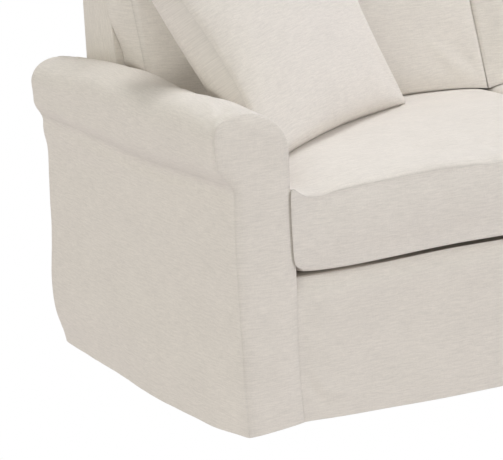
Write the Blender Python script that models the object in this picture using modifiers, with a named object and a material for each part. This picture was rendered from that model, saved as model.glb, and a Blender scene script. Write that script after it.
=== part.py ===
"""A loose linen slipcover for a two-seat sofa with rolled arms, as it hangs in use.

Metres, +Z up, +X to the right seen from the front, +Y to the back. The origin is under the
middle of the cover, on the plane of its hem. Each panel is a sheet of cloth; each cushion is
one filled solid.
"""

import math

import bpy
import bmesh
import numpy as np
from mathutils import Vector

# Overall sizes
WIDTH_AT_HEM = 1.830  # hem corner to hem corner
DEPTH = 0.952  # flat front to flat rear
ARM_HEIGHT = 0.660
BACK_HEIGHT = 0.870
CLOTH = 0.003  # linen with its seam allowances
GAP = 0.0005  # between two panels that are sewn together
CLEAR = 0.002  # between a panel's edge and the panel that caps it

# Levels
SEAM_UNDER_ROLL = 0.517
DECK_HEIGHT = 0.308
HEM_LIFT = 0.012  # the front rail's hem above the hem of the arms
HEM_EVENS_OUT = 0.15  # the height at which the arm front's rows are level again
RAIL_RISE = 0.010  # how much higher the rail's top stands away from the arms

# Edges that the seams draw in
SEAM_INSET = 0.005
SEAM_REACH = 0.009
HEAD_INSET = 0.0055  # on the roll's outer side, in front
HEAD_REACH = 0.010
TIGHT_INSET = 0.0035  # on the roll's inner side
TIGHT_REACH = 0.005
PANEL_CROWN = 0.008

# How the arm changes along its length
SIDE_SWELL = 0.010
LOW_SWELL = 0.016
REAR_TUCK = 0.009
HEM_FLARE = 0.019  # how far the outside arm's hem swings out
NECK_FILL = 0.020  # how much less the arm is pinched under its roll at the rear than in front
ROLL_SPREAD = 0.005  # how much wider the roll is at the rear
ROLL_DROP = 0.024  # how much lower the roll is where the back stands on it
SEAM_SAG = 0.012

# The back
BACK_SIDE = 0.086  # the back's side panel, in from the hem's corner
BACK_CORNER_RADIUS = 0.070
INSIDE_BACK_FOOT = 0.757  # depth of the inside back where it meets the deck
INSIDE_BACK_TOP = 0.832
# Where the inside of the arm ends and the back stands
NOTCH_WIDTH = 0.12
NOTCH_FRONT = 0.800
NOTCH_REAR = 1.052
NOTCH_LEVELS = (0.2, 0.7)

# Cushions
SEAT_SEAM_LOW = 0.3135
SEAT_SEAM_TOP = 0.475
SEAT_CROWN = 0.044
SEAT_SIDE = 0.1285
SEAT_FRONT = -0.003
SEAT_REAR = 0.754
SEAT_BULGE = 0.010
MIDDLE_SINK = 0.45  # how much flatter a seat is where it meets the other one
BACK_CUSHION_SIDE = 0.096
BACK_CUSHION_FOOT = 0.5035
FOOT_DROOP = 0.0125  # how much lower its foot is where it meets the other one
BACK_CUSHION_TOP = 0.960
BACK_CUSHION_FACE = 0.650  # depth of its front seam
BACK_CUSHION_SLOPE = 0.37
BACK_CUSHION_BEND = 0.780  # above this height its face stands steeper
BACK_CUSHION_CROWN = 0.048
BACK_CUSHION_EDGE = 0.120  # of its face, beside the arm
BETWEEN_CUSHIONS = 0.003
ARM_MARGIN = 0.020  # a cushion starts to lean over the arm's roll this far above its surface

# The pillow in the left corner
PILLOW_SIDE = 0.644
PILLOW_CROWN = 0.088  # how far it stands out in front
PILLOW_REAR_CROWN = 0.121
PILLOW_PINCH = 0.203  # how far its left edge is drawn in, as a share of half its side
PILLOW_CORNER = (0.653, 0.533, 0.507)  # its lower right corner, from the left hem corner
PILLOW_TURN = 37.1
PILLOW_LEAN_LOW = 34.2
PILLOW_LEAN_RIGHT = 6.2  # where its upper part bends up against the back cushion
PILLOW_LEAN_LEFT = 26.7

HALF_WIDTH = WIDTH_AT_HEM / 2
FRONT_Y = -DEPTH / 2
SEAT_HALF = (HALF_WIDTH - BETWEEN_CUSHIONS / 2 - SEAT_SIDE) / 2
SEAT_MIDDLE = SEAT_SIDE + SEAT_HALF
BACK_CUSHION_HALF = (HALF_WIDTH - BETWEEN_CUSHIONS / 2 - BACK_CUSHION_SIDE) / 2
BACK_CUSHION_MIDDLE = BACK_CUSHION_SIDE + BACK_CUSHION_HALF
LINEN = (0.64, 0.59, 0.52)

# The arm's outline seen from the front, from the outer hem over the roll to the deck:
# distance in from the hem's corner, height
ARM_STEM = ((-0.003, 0.000), (-0.006, 0.110), (-0.007, 0.250), (-0.008, 0.390), (-0.005, 0.468))
ARM_NECK = (-0.004, 0.501)
ARM_ROLL = (
    (-0.013, 0.517),
    (-0.027, 0.533),
    (-0.037, 0.552),
    (-0.042, 0.590),
    (-0.040, 0.620),
    (-0.027, 0.644),
    (0.003, 0.656),
    (0.032, 0.660),
    (0.064, 0.653),
    (0.096, 0.634),
    (0.1185, 0.606),
    (0.1265, 0.574),
    (0.1262, 0.530),
    (0.1255, 0.420),
    (0.1260, DECK_HEIGHT + 0.004),
)
# The rows of an arm's front panel: heights round its head, then distances below its top
HEAD_LEVELS = (0.490, 0.503, 0.516, 0.530, 0.548, 0.570, 0.595, 0.615, 0.630, 0.641)
HEAD_TOP_STEPS = (0.006, 0.0025, 0.0008)
# Across the back border, from front to rear: share of the way, share of the seams' inset
BORDER_COLUMNS = ((0.0, 1.0), (0.06, 0.4), (0.2, 0.0), (0.5, -0.6), (0.8, 0.0), (0.94, 0.4), (1.0, 1.0))
# The seam between an arm's front and the front rail
RAIL_SEAM = ((0.1235, 0.500), (0.1250, DECK_HEIGHT), (0.1205, 0.150), (0.1225, 0.050), (0.1270, 0.000))


def clear_scene():
    for old in list(bpy.data.objects):
        bpy.data.objects.remove(old, do_unlink=True)


def new_collection(name):
    collection = bpy.data.collections.new(name)
    bpy.context.scene.collection.children.link(collection)
    return collection


def material(name, colour, roughness):
    made = bpy.data.materials.new(name)
    made.use_nodes = True
    shader = made.node_tree.nodes["Principled BSDF"]
    shader.inputs["Base Color"].default_value = (*colour, 1.0)
    shader.inputs["Roughness"].default_value = roughness
    shader.inputs["Metallic"].default_value = 0.0
    return made


def ease(value, low, high):
    """0 below low, 1 above high, and smooth between them."""
    share = min(max((value - low) / (high - low), 0.0), 1.0)
    return share * share * (3 - 2 * share)


def bell(value, middle, reach):
    return math.exp(-(((value - middle) / reach) ** 2))


def smooth_line(points, steps):
    """A Catmull-Rom curve through the points, with this many steps to each stretch."""
    points = np.array(points, float)
    padded = np.vstack([2 * points[0] - points[1], points, 2 * points[-1] - points[-2]])
    line = []
    for i in range(1, len(padded) - 2):
        before, start, end, after = padded[i - 1 : i + 3]
        for step in range(steps):
            t = step / steps
            line.append(
                0.5
                * (
                    2 * start
                    + (end - before) * t
                    + (2 * before - 5 * start + 4 * end - after) * t**2
                    + (3 * start - before - 3 * end + after) * t**3
                )
            )
    line.append(points[-1])
    return np.array(line)


def resample(line, count):
    """Points at even distances along a line."""
    steps = np.linalg.norm(np.diff(line, axis=0), axis=1)
    along = np.concatenate([[0], np.cumsum(steps)])
    wanted = np.linspace(0, along[-1], count)
    return np.stack([np.interp(wanted, along, line[:, k]) for k in range(line.shape[1])], axis=1)


def seam_draw(point, depth):
    """How far the seams at an arm's two ends draw this point of its outline in.

    In front it is most on the roll's outer side, a soft valley, and least on its inner side.
    """
    across, height = point
    nearest = max(min(depth, DEPTH - depth), 0.0)
    soft = ease(height, SEAM_UNDER_ROLL - 0.03, SEAM_UNDER_ROLL + 0.03) * (1 - ease(across, 0.0, 0.05))
    soft *= depth < DEPTH / 2
    tight = ease(across, 0.03, 0.08)
    inset = SEAM_INSET + (HEAD_INSET - SEAM_INSET) * soft + (TIGHT_INSET - SEAM_INSET) * tight
    reach = SEAM_REACH + (HEAD_REACH - SEAM_REACH) * soft + (TIGHT_REACH - SEAM_REACH) * tight
    return inset * math.exp(-nearest / reach)


def hang(point, depth):
    """Where a point of the arm's front outline goes at this depth along the arm."""
    across, level = point
    along = depth / DEPTH
    outer = 1 - ease(across, 0.0, 0.06)
    # The outer panel swells towards the rear and low down, and tucks in at its rear corner.
    swell = SIDE_SWELL * ease(along, 0.0, 0.6)
    swell += LOW_SWELL * bell(level, 0.13, 0.11) * ease(along, 0.05, 0.7)
    swell += 0.004 * bell(level, 0.32, 0.11) * ease(along, 0.3, 0.9)
    tuck = REAR_TUCK * ease(along, 0.72, 1.0) * (1 - ease(level, 0.0, 0.08))
    flare = HEM_FLARE * (1 - ease(level, 0.0, 0.26)) * ease(along, 0.0, 0.14) * (1 - ease(along, 0.36, 0.72))
    across -= outer * (1 - ease(level, 0.46, 0.52)) * (swell - tuck + flare)
    across -= outer * NECK_FILL * bell(level, 0.505, 0.045) * ease(along, 0.15, 0.95)
    across -= outer * ROLL_SPREAD * bell(level, 0.610, 0.045) * ease(along, 0.35, 0.95)
    # The roll is lower where the back stands on it, and its seam sags a little along its length.
    drop = (ROLL_DROP - 0.006 * bell(point[0], 0.0, 0.03)) * ease(along, 0.60, 0.97)
    height = level - ease(level, SEAM_UNDER_ROLL, ARM_HEIGHT) * (drop + 0.004 * bell(along, 0.34, 0.09))
    height -= SEAM_SAG * bell(height, SEAM_UNDER_ROLL, 0.05) * bell(along, 0.40, 0.25) * outer
    return across, height


def draw_in(line, amount):
    """The line moved to its right-hand side, which is the arm's inside."""
    ways = np.gradient(line, axis=0)
    ways /= np.linalg.norm(ways, axis=1)[:, None]
    return line + np.broadcast_to(amount, len(line))[:, None] * np.stack([ways[:, 1], -ways[:, 0]], axis=1)


def arm_outline(part, depth):
    """The arm's outer side or its roll and inside, seen from the front, at this depth."""
    line = np.array([hang(point, depth) for point in part])
    return draw_in(line, np.array([seam_draw(point, depth) for point in part]))


OUTER_SIDE = smooth_line((*ARM_STEM, ARM_NECK, ARM_ROLL[0]), 6)
OVER_ARM = smooth_line(ARM_ROLL, 6)


def world(side, across, depth, height):
    """side is -1 for the left half and 1 for the right."""
    return Vector((side * (HALF_WIDTH - across), FRONT_Y + depth, height))


def add_object(name, mesh, collection, cloth):
    obj = bpy.data.objects.new(name, mesh)
    collection.objects.link(obj)
    mesh.materials.append(cloth)
    mesh.shade_smooth()
    mesh.set_sharp_from_angle(angle=math.radians(50))
    return obj


def solid_object(name, shape, collection, cloth):
    """An object from a closed shape, with its faces turned outwards."""
    bmesh.ops.recalc_face_normals(shape, faces=shape.faces[:])
    if shape.calc_volume(signed=True) < 0:
        bmesh.ops.reverse_faces(shape, faces=shape.faces[:])
    mesh = bpy.data.meshes.new(name)
    shape.to_mesh(mesh)
    shape.free()
    return add_object(name, mesh, collection, cloth)


def sheet(name, rows, collection, cloth, inward):
    """A sheet of cloth lofted through rows of points. Its thickness goes towards inward."""
    shape = bmesh.new()
    grid = [[shape.verts.new(point) for point in row] for row in rows]
    for low, high in zip(grid, grid[1:]):
        for i in range(len(low) - 1):
            shape.faces.new((low[i], low[i + 1], high[i + 1], high[i]))
    shape.normal_update()
    faces = list(shape.faces)
    facing = sum((face.normal.dot(Vector(inward)) * face.calc_area() for face in faces))
    if facing > 0:
        bmesh.ops.reverse_faces(shape, faces=faces)
    mesh = bpy.data.meshes.new(name)
    shape.to_mesh(mesh)
    shape.free()
    obj = add_object(name, mesh, collection, cloth)
    thick = obj.modifiers.new("cloth", "SOLIDIFY")
    thick.thickness = CLOTH
    thick.offset = -1.0
    return obj


def sweep_stations():
    """Depths along an arm, close together at its two ends where the seams draw it in."""
    first = CLOTH + 2 * GAP
    ends = [first, first + 0.008, first + 0.026]
    middle = list(np.linspace(0.09, DEPTH - 0.09, 8))
    return ends + middle + [DEPTH - depth for depth in reversed(ends)]


def swept(side, line):
    """Rows of points, one for each station, along an arm."""
    return [
        [world(side, across, depth, height) for across, height in arm_outline(line, depth)]
        for depth in sweep_stations()
    ]


def outside_arm(side, name, collection, cloth):
    line = resample(OUTER_SIDE, 13)
    line[-1, 1] -= GAP
    sheet(name, swept(side, line), collection, cloth, (-side, 0, 0))


def arm_roll(side, name, collection, cloth, cutter):
    line = resample(OVER_ARM, 24)
    line[0, 1] += GAP
    roll = sheet(name, swept(side, line), collection, cloth, (0, 0, -1))
    notch = roll.modifiers.new("notch for the back", "BOOLEAN")
    notch.operation = "DIFFERENCE"
    notch.object = cutter


def crown(share):
    """0 at both edges of a panel, 1 in its middle, for a share of its width from 0 to 1."""
    return 1 - abs(2 * share - 1) ** 4


def at_height(line, height):
    """How far across a rising or falling outline is at this height."""
    order = np.argsort(line[:, 1])
    return float(np.interp(height, line[order, 1], line[order, 0]))


def end_outline(depth):
    """An arm's outer and inner edges at one of its ends, each as a line from hem to top."""
    outer = arm_outline(np.vstack([OUTER_SIDE[:-1], OVER_ARM]), depth)
    top = int(np.argmax(outer[:, 1]))
    return outer[: top + 1], outer[top:]


def hem_rise(height):
    """How far an arm front's inner edge is lifted to meet the front rail's hem."""
    return HEM_LIFT * (1 - ease(height, 0.0, HEM_EVENS_OUT))


def arm_front(side, name, collection, cloth):
    outer, over = end_outline(0.0)
    rail_side = smooth_line(RAIL_SEAM, 4)
    top = outer[-1, 1]
    levels = [*np.linspace(0.0, 0.47, 8), *HEAD_LEVELS, *(top - below for below in HEAD_TOP_STEPS)]
    rows = []
    for height in levels:
        left = at_height(outer, height)
        lift = hem_rise(height)
        right = at_height(over, height) if height > 0.5 else at_height(rail_side, height + lift) - GAP
        swell = PANEL_CROWN * ease(top - height, 0.0, 0.05)
        shares = np.linspace(0, 1, 7)
        rows.append(
            [world(side, left + (right - left) * s, -swell * crown(s), height + lift * s) for s in shares]
        )
    sheet(name, rows, collection, cloth, (0, 1, 0))


def rail_rise(across):
    """How much higher the rail's top and the seats' lower seams stand away from the arms."""
    return RAIL_RISE * ease(across, 0.20, 0.52)


def front_rail(name, collection, cloth):
    rail_side = smooth_line(RAIL_SEAM, 4)
    rows = []
    for share in np.linspace(0, 1, 9):
        height = HEM_LIFT + share * (DECK_HEIGHT - HEM_LIFT - CLOTH)
        row = []
        edge = HALF_WIDTH - at_height(rail_side, height) - CLEAR
        for x in np.linspace(-edge, edge, 25):
            near = ease(edge - abs(x), 0.0, 0.06)
            depth = -0.004 * near + 0.014 * bell(share, 1.0, 0.08)
            depth -= 0.004 * bell(share, 0.0, 0.30) * math.sin(9 * x) * near
            rise = rail_rise(HALF_WIDTH - abs(x)) * ease(share, 0.5, 1.0)
            row.append(Vector((x, FRONT_Y + depth, height + rise)))
        rows.append(row)
    sheet(name, rows, collection, cloth, (0, 1, 0))


def inside_back_depth(height):
    share = (height - DECK_HEIGHT) / (BACK_HEIGHT - DECK_HEIGHT)
    return INSIDE_BACK_FOOT + (INSIDE_BACK_TOP - INSIDE_BACK_FOOT) * share * share


def back_side(height, inset):
    """The back's side, in from the hem's corner, with its rounded upper corner."""
    rise = max(height - (BACK_HEIGHT - BACK_CORNER_RADIUS), 0.0)
    turn = BACK_CORNER_RADIUS - math.sqrt(max(BACK_CORNER_RADIUS**2 - rise**2, 0.0))
    return BACK_SIDE + turn + inset


def back_levels(low):
    """Heights from low to the back's top, close together round its upper corners."""
    straight = BACK_HEIGHT - BACK_CORNER_RADIUS
    turns = [straight + BACK_CORNER_RADIUS * math.sin(math.radians(a)) for a in (18, 36, 54, 70, 80)]
    return list(np.linspace(low, straight, 4)) + turns


def across_row(edge, depth_of, height):
    """A row of points from one edge of the cover to the same edge on the other side."""
    spots = np.linspace(-1, 1, 15)
    return [Vector((edge * s, FRONT_Y + depth_of((s + 1) / 2), height)) for s in spots]


def inside_back(name, collection, cloth):
    rows = []
    _, over = end_outline(inside_back_depth(ARM_HEIGHT))
    arm_top = over[0, 1]
    levels = [DECK_HEIGHT + 2 * GAP, 0.40, 0.50, 0.56, 0.58, 0.594, 0.608, 0.622, arm_top - 0.004]
    for height in levels:
        edge = HALF_WIDTH - max(at_height(over, height), BACK_SIDE) - SEAM_INSET
        depth = inside_back_depth(height)
        rows.append(across_row(edge, lambda share: depth, height))
    for height in back_levels(arm_top + CLEAR):
        edge = HALF_WIDTH - back_side(height, SEAM_INSET)
        depth = inside_back_depth(height)
        rows.append(across_row(edge, lambda share: depth, height))
    sheet(name, rows, collection, cloth, (0, 1, 0))


def outside_back(name, collection, cloth):
    """Its lower part is as wide as the arms and follows their rolls, its upper part stands between them."""
    rim = arm_outline(np.vstack([OUTER_SIDE[:-1], OVER_ARM]), DEPTH)
    beside = (rim[:, 0] > BACK_SIDE + SEAM_INSET) & (rim[:, 1] > SEAM_UNDER_ROLL)
    rim = resample(rim[: int(np.argmax(beside)) + 1], 26)
    top = rim[-1, 1]
    rows = []
    for share, (across, height) in zip(np.linspace(0, 1, len(rim)), rim):
        row = []
        for spot in np.linspace(-1, 1, 15):
            settle = ease((1 - abs(spot)) * HALF_WIDTH, 0.0, 0.16)
            swell = PANEL_CROWN * ease(share * top, 0.0, 0.1) * crown((spot + 1) / 2)
            level = height + (share * top - height) * settle
            row.append(Vector(((HALF_WIDTH - across) * spot, FRONT_Y + DEPTH + swell, level)))
        rows.append(row)
    for height in back_levels(top + CLEAR):
        edge = HALF_WIDTH - back_side(height, SEAM_INSET)
        swell = PANEL_CROWN * ease(BACK_HEIGHT - height, 0.0, 0.06)
        rows.append(across_row(edge, lambda share: DEPTH + swell * crown(share), height))
    sheet(name, rows, collection, cloth, (0, -1, 0))


def arm_height_at(across, depth):
    """The height of the top of the arm's roll, this far in from the hem's corner."""
    line = arm_outline(OVER_ARM, depth)
    wide = int(np.argmin(line[:, 0]))
    narrow = int(np.argmax(line[:, 0]))
    return float(np.interp(across, line[wide:narrow, 0], line[wide:narrow, 1]))


def border_path(low):
    """The strip round the back's sides and top: x and height, from the left arm to the right."""
    side_x = HALF_WIDTH - BACK_SIDE
    straight = BACK_HEIGHT - BACK_CORNER_RADIUS
    rise = [(-side_x, height) for height in np.linspace(low, straight, 5)]
    turn = [
        (
            -side_x + BACK_CORNER_RADIUS * (1 - math.cos(math.radians(a))),
            straight + BACK_CORNER_RADIUS * math.sin(math.radians(a)),
        )
        for a in (15, 30, 45, 60, 75)
    ]
    top = [(x, BACK_HEIGHT) for x in np.linspace(BACK_CORNER_RADIUS - side_x, 0, 7)]
    half = rise + turn + top
    return half + [(-x, height) for x, height in reversed(half[:-1])]


def back_border(name, collection, cloth):
    """Columns from the inside back to the outside back, with how far each is drawn in."""
    columns = []
    for share, inset in BORDER_COLUMNS:
        near_depth = inside_back_depth(0.64) + share * (DEPTH - inside_back_depth(0.64))
        path = np.array(border_path(arm_height_at(BACK_SIDE, near_depth) + CLEAR))
        line = draw_in(path, SEAM_INSET * inset)
        column = []
        for (x, height), (_, level) in zip(line, path):
            front = inside_back_depth(level) + CLOTH + 2 * GAP
            rear = DEPTH - CLOTH - 2 * GAP
            column.append(Vector((x, FRONT_Y + front + share * (rear - front), height)))
        columns.append(column)
    sheet(name, columns, collection, cloth, (0, 0, -1))


def box_mesh(name, low, high):
    """A box between its lowest and highest corners."""
    shape = bmesh.new()
    bmesh.ops.create_cube(shape, size=1.0)
    for vertex in shape.verts:
        vertex.co = [a + (b - a) * (part + 0.5) for a, b, part in zip(low, high, vertex.co)]
    mesh = bpy.data.meshes.new(name)
    shape.to_mesh(mesh)
    shape.free()
    return mesh


def seat_deck(name, collection, cloth):
    edge = HALF_WIDTH - ARM_ROLL[-1][0] - CLEAR
    front = FRONT_Y + 2 * CLOTH + SEAM_REACH
    rear = FRONT_Y + INSIDE_BACK_FOOT - CLEAR
    low = (-edge, front, DECK_HEIGHT - CLOTH)
    add_object(name, box_mesh(name, low, (edge, rear, DECK_HEIGHT)), collection, cloth)


def round_plan(a, b, power):
    """How much the corners of a cushion are rounded off, seen from above or in front."""
    most, least = max(abs(a), abs(b)), min(abs(a), abs(b))
    return 1.0 if most == 0 else (1 + (least / most) ** 8) ** (-power)


def back_fullness(a, b):
    """A back cushion is fuller beside the arm than beside the other cushion."""
    wide = max(1 - a * a, 0.0) ** (0.4 if a < 0 else 0.6)
    return wide * max(1 - b * b, 0.0) ** 0.6


def seat_fullness(a, b):
    """Fullest a little in front of its middle; behind that it slopes down to the back cushion."""
    if a < 0:
        wide = max(1 - a**8, 0.0) ** 0.6
    else:
        wide = (1 - MIDDLE_SINK * a**6) * max(1 - a**60, 0.0) ** 0.5
    if b < 0:
        return wide * max(1 - b * b, 0.0) ** 0.68
    return wide * (1 - 0.55 * b) * max(1 - b**24, 0.0) ** 0.5


def seat_top(across, depth):
    """The height of a seat cushion's upper face."""
    a = (across - SEAT_MIDDLE) / SEAT_HALF
    b = (depth - SEAT_FRONT) / (SEAT_REAR - SEAT_FRONT) * 2 - 1
    return SEAT_SEAM_TOP + SEAT_CROWN * seat_fullness(min(max(a, -1), 1), min(max(b, -1), 1))


def seat_point(a, b, c):
    k = round_plan(a, b, 0.02 if c > 0 else 0.02 + 0.02 * c**8)
    across = SEAT_MIDDLE + SEAT_HALF * a * k * (1 - 0.004 * c * c)
    middle = (SEAT_FRONT + SEAT_REAR) / 2
    depth = middle + (SEAT_REAR - SEAT_FRONT) / 2 * b * k
    if b < -0.99:
        depth -= SEAT_BULGE * (1 - c * c) * (1 - a**4)
    share = (c + 1) / 2
    height = SEAT_SEAM_LOW + share * (SEAT_SEAM_TOP - SEAT_SEAM_LOW)
    front = ease(-b, 0.7, 1.0)
    height += (1 - share) * (0.008 * (a * b) ** 12 + rail_rise(across) * front)
    height += share * front * (0.0105 * bell(across, 0.45, 0.17) - 0.006 * bell(across, 0.175, 0.05))
    if c > 0.99:
        height += SEAT_CROWN * seat_fullness(a, b)
    return across, depth, height


def back_cushion_front(height):
    """Depth of a back cushion's front seams."""
    rise = min(height, BACK_CUSHION_BEND) - BACK_CUSHION_FOOT
    above = max(height - BACK_CUSHION_BEND, 0.0)
    return BACK_CUSHION_FACE + BACK_CUSHION_SLOPE * (rise + 0.35 * above)


def back_face(across, height):
    """Depth of a back cushion's front face."""
    a = (across - BACK_CUSHION_MIDDLE) / BACK_CUSHION_HALF
    b = (height - BACK_CUSHION_FOOT) / (BACK_CUSHION_TOP - BACK_CUSHION_FOOT) * 2 - 1
    full = back_fullness(min(max(a, -1), 1), min(max(b, -1), 1))
    return back_cushion_front(height) - BACK_CUSHION_CROWN * full


def beside_arm(across, depth, height, clearance):
    """across, moved in if need be so that a coarse surface through the point clears the arm."""
    line = arm_outline(OVER_ARM, depth)
    narrow = int(np.argmax(line[:, 0]))
    top = int(np.argmax(line[:, 1]))
    if height > line[top, 1] + ARM_MARGIN:
        return across
    level = min(max(height - ARM_MARGIN, line[narrow, 1]), line[top, 1])
    inner = float(np.interp(-level, -line[top : narrow + 1, 1], line[top : narrow + 1, 0]))
    return max(across, inner + clearance)


def back_cushion_edge(height, share):
    """The outer edge of a back cushion, in from the hem's corner; share runs from front to rear."""
    rear = 0.108 - 0.022 * ease(height, 0.64, 0.75)
    return BACK_CUSHION_EDGE + (rear - BACK_CUSHION_EDGE) * share


def back_cushion_point(a, b, c):
    k = round_plan(a, b, 0.003 if a > 0 > b else 0.02)
    share = (b * k + 1) / 2
    height = BACK_CUSHION_FOOT + share * (BACK_CUSHION_TOP - BACK_CUSHION_FOOT)
    height -= FOOT_DROOP * max(a, 0.0) ** 6 * (1 - share) ** 6
    height += 0.014 * (1 - a * a) * (b > 0.99) * (1 - 0.5 * c * c)
    front = back_cushion_front(height)
    rear = inside_back_depth(height) - CLEAR
    depth = front + (c + 1) / 2 * (rear - front)
    if c < -0.99:
        depth -= BACK_CUSHION_CROWN * back_fullness(a, b)
    swell = 0.008 * (1 - c * c) * (1 - b * b) * (a < -0.99)
    outer = back_cushion_edge(height, (c + 1) / 2)
    inner = HALF_WIDTH - BETWEEN_CUSHIONS / 2
    across = outer + (inner - outer) * (a * k + 1) / 2 - swell
    return beside_arm(across, depth, height, 3 * CLEAR), depth, height


def filled(name, point_of, side, collection, cloth):
    """One filled solid: a cube's surface in small squares, each corner moved by point_of."""
    shape = bmesh.new()
    bmesh.ops.create_cube(shape, size=2.0)
    bmesh.ops.subdivide_edges(shape, edges=shape.edges[:], cuts=7, use_grid_fill=True)
    for vertex in shape.verts:
        spot = (math.sin(math.pi / 2 * part) for part in vertex.co)
        vertex.co = world(side, *point_of(*spot))
    solid_object(name, shape, collection, cloth)


def pillow_puff(p, q, face):
    """In front it slopes away to its left edge and stands steep on its lower edge; behind it is boxy."""
    if face > 0:
        return PILLOW_REAR_CROWN * max((1 - p * p) * (1 - q * q), 0.0) ** 0.314
    sides = max(1 - abs(p) ** 1.7, 0.0) ** 0.8 if p < 0 else max(1 - p * p, 0.0) ** 0.487
    ends = max(1 - q * q, 0.0) ** (0.385 if q < 0 else 0.487)
    return -PILLOW_CROWN * sides * ends


def pillow_point(p, q, face):
    """p runs to the pillow's right and q up it, from -1 to 1; face is -1 in front, 1 behind."""
    half = PILLOW_SIDE / 2
    pinch = PILLOW_PINCH * (1 - 0.815 * q) if p < 0 else 0.05
    along = half * p * (1 - pinch * (1 - q * q) * p * p)
    up = half * q * (1 - 0.05 * (1 - p * p) * q * q) + half
    low = math.radians(PILLOW_LEAN_LOW)
    high = math.radians(PILLOW_LEAN_LEFT + (PILLOW_LEAN_RIGHT - PILLOW_LEAN_LEFT) * (p + 1) / 2)
    bend = (high - low) / PILLOW_SIDE
    lean = low + bend * up
    puff = pillow_puff(p, q, face)
    back = (math.cos(low) - math.cos(lean)) / bend + puff * math.cos(lean)
    rise = (math.sin(lean) - math.sin(low)) / bend - puff * math.sin(lean)
    turn = math.radians(PILLOW_TURN)
    across = PILLOW_CORNER[0] + (along - half) * math.cos(turn) - back * math.sin(turn)
    depth = PILLOW_CORNER[1] + (along - half) * math.sin(turn) + back * math.cos(turn)
    height = PILLOW_CORNER[2] + rise
    if height < BACK_CUSHION_TOP + 0.02:
        depth = min(depth, back_face(across, height) - 2 * CLEAR)
    across = beside_arm(across, depth, height, 2 * CLEAR)
    return across, depth, max(height, seat_top(across, depth) + CLEAR)


def corner_pillow(name, collection, cloth):
    shape = bmesh.new()
    for face in (-1, 1):
        made = bmesh.ops.create_grid(shape, x_segments=12, y_segments=12, size=1.0)
        for vertex in made["verts"]:
            p, q = (math.sin(math.pi / 2 * part) for part in vertex.co.xy)
            vertex.co = world(-1, *pillow_point(p, q, face))
    bmesh.ops.remove_doubles(shape, verts=shape.verts[:], dist=1e-5)
    solid_object(name, shape, collection, cloth)


def notch_cutter(side, collection):
    """Takes the inside of the arm away where the back stands."""
    near = side * (HALF_WIDTH - BACK_SIDE - 2 * CLOTH)
    far = near - side * NOTCH_WIDTH
    low = (min(near, far), FRONT_Y + NOTCH_FRONT, NOTCH_LEVELS[0])
    high = (max(near, far), FRONT_Y + NOTCH_REAR, NOTCH_LEVELS[1])
    name = f"notch_{'left' if side < 0 else 'right'}"
    cutter = bpy.data.objects.new(name, box_mesh(name, low, high))
    cutter.hide_render = True
    cutter.display_type = "WIRE"
    collection.objects.link(cutter)
    return cutter


def main():
    clear_scene()
    parts = new_collection("sofa_slipcover")
    cutters = new_collection("cutters")
    cloth = material("linen", LINEN, 0.9)
    for side, hand in ((-1, "left"), (1, "right")):
        outside_arm(side, f"outside_arm_{hand}", parts, cloth)
        arm_roll(side, f"arm_roll_{hand}", parts, cloth, notch_cutter(side, cutters))
        arm_front(side, f"arm_front_{hand}", parts, cloth)
        filled(f"seat_cushion_{hand}", seat_point, side, parts, cloth)
        filled(f"back_cushion_{hand}", back_cushion_point, side, parts, cloth)
    front_rail("front_rail", parts, cloth)
    seat_deck("seat_deck", parts, cloth)
    inside_back("inside_back", parts, cloth)
    back_border("back_border", parts, cloth)
    outside_back("outside_back", parts, cloth)
    corner_pillow("corner_pillow", parts, cloth)


main()
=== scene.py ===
"""Looks for a loose linen slipcover on a two-seat sofa with rolled arms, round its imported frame.

Metres, +Z up, +X to the right seen from the front, +Y to the back. Most shapes are written as the
distance in from the hem's corner, the depth behind the front seam and the height above the hem.
"""

import itertools
import math

import bmesh
import bpy
import numpy as np
from mathutils import Matrix, Vector

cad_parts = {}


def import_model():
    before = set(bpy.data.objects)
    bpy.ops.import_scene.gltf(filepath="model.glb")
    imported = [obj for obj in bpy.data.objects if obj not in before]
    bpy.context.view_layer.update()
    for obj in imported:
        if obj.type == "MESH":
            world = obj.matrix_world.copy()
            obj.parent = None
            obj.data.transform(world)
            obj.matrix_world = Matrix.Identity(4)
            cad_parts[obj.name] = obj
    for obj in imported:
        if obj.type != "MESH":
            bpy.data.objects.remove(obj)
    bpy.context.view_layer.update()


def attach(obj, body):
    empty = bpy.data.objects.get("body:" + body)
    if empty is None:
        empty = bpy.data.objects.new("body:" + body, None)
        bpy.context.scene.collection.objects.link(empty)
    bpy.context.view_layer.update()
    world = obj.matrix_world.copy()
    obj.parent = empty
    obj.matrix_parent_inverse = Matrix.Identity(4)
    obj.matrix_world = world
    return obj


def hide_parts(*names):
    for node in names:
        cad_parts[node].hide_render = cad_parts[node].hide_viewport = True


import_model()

# Overall sizes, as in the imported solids, except that their cloth is SOLID_CLOTH thick
WIDTH_AT_HEM = 1.830
DEPTH = 0.952
ARM_HEIGHT = 0.660
BACK_HEIGHT = 0.870
HALF_WIDTH = WIDTH_AT_HEM / 2
FRONT_Y = -DEPTH / 2
CLOTH = 0.002
SOLID_CLOTH = 0.003
CLEAR = 0.002
SEAM_UNDER_ROLL = 0.517
DECK_HEIGHT = 0.308
HEM_LIFT = 0.012
HEM_EVENS_OUT = 0.15  # the height at which the arm front's rows are level again
ARM_FRONT_WIDTH = 0.126
SPINE_SHARE = 0.41  # the middle of an arm's front, as a share of its width
RAIL_RISE = 0.010
SEAM_INSET = 0.005
SEAM_REACH = 0.009
HEAD_INSET = 0.0055  # on the roll's outer side, in front
HEAD_REACH = 0.010
TIGHT_INSET = 0.0035  # on the roll's inner side
TIGHT_REACH = 0.005
NECK_FILL = 0.020  # how much less the arm is pinched under its roll at the rear than in front
HEM_FLARE = 0.019  # how far the outside arm's hem swings out
ROLL_SPREAD = 0.005  # how much wider the roll is at the rear
ROLL_DROP = 0.024  # how far its top sinks towards the rear
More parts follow.
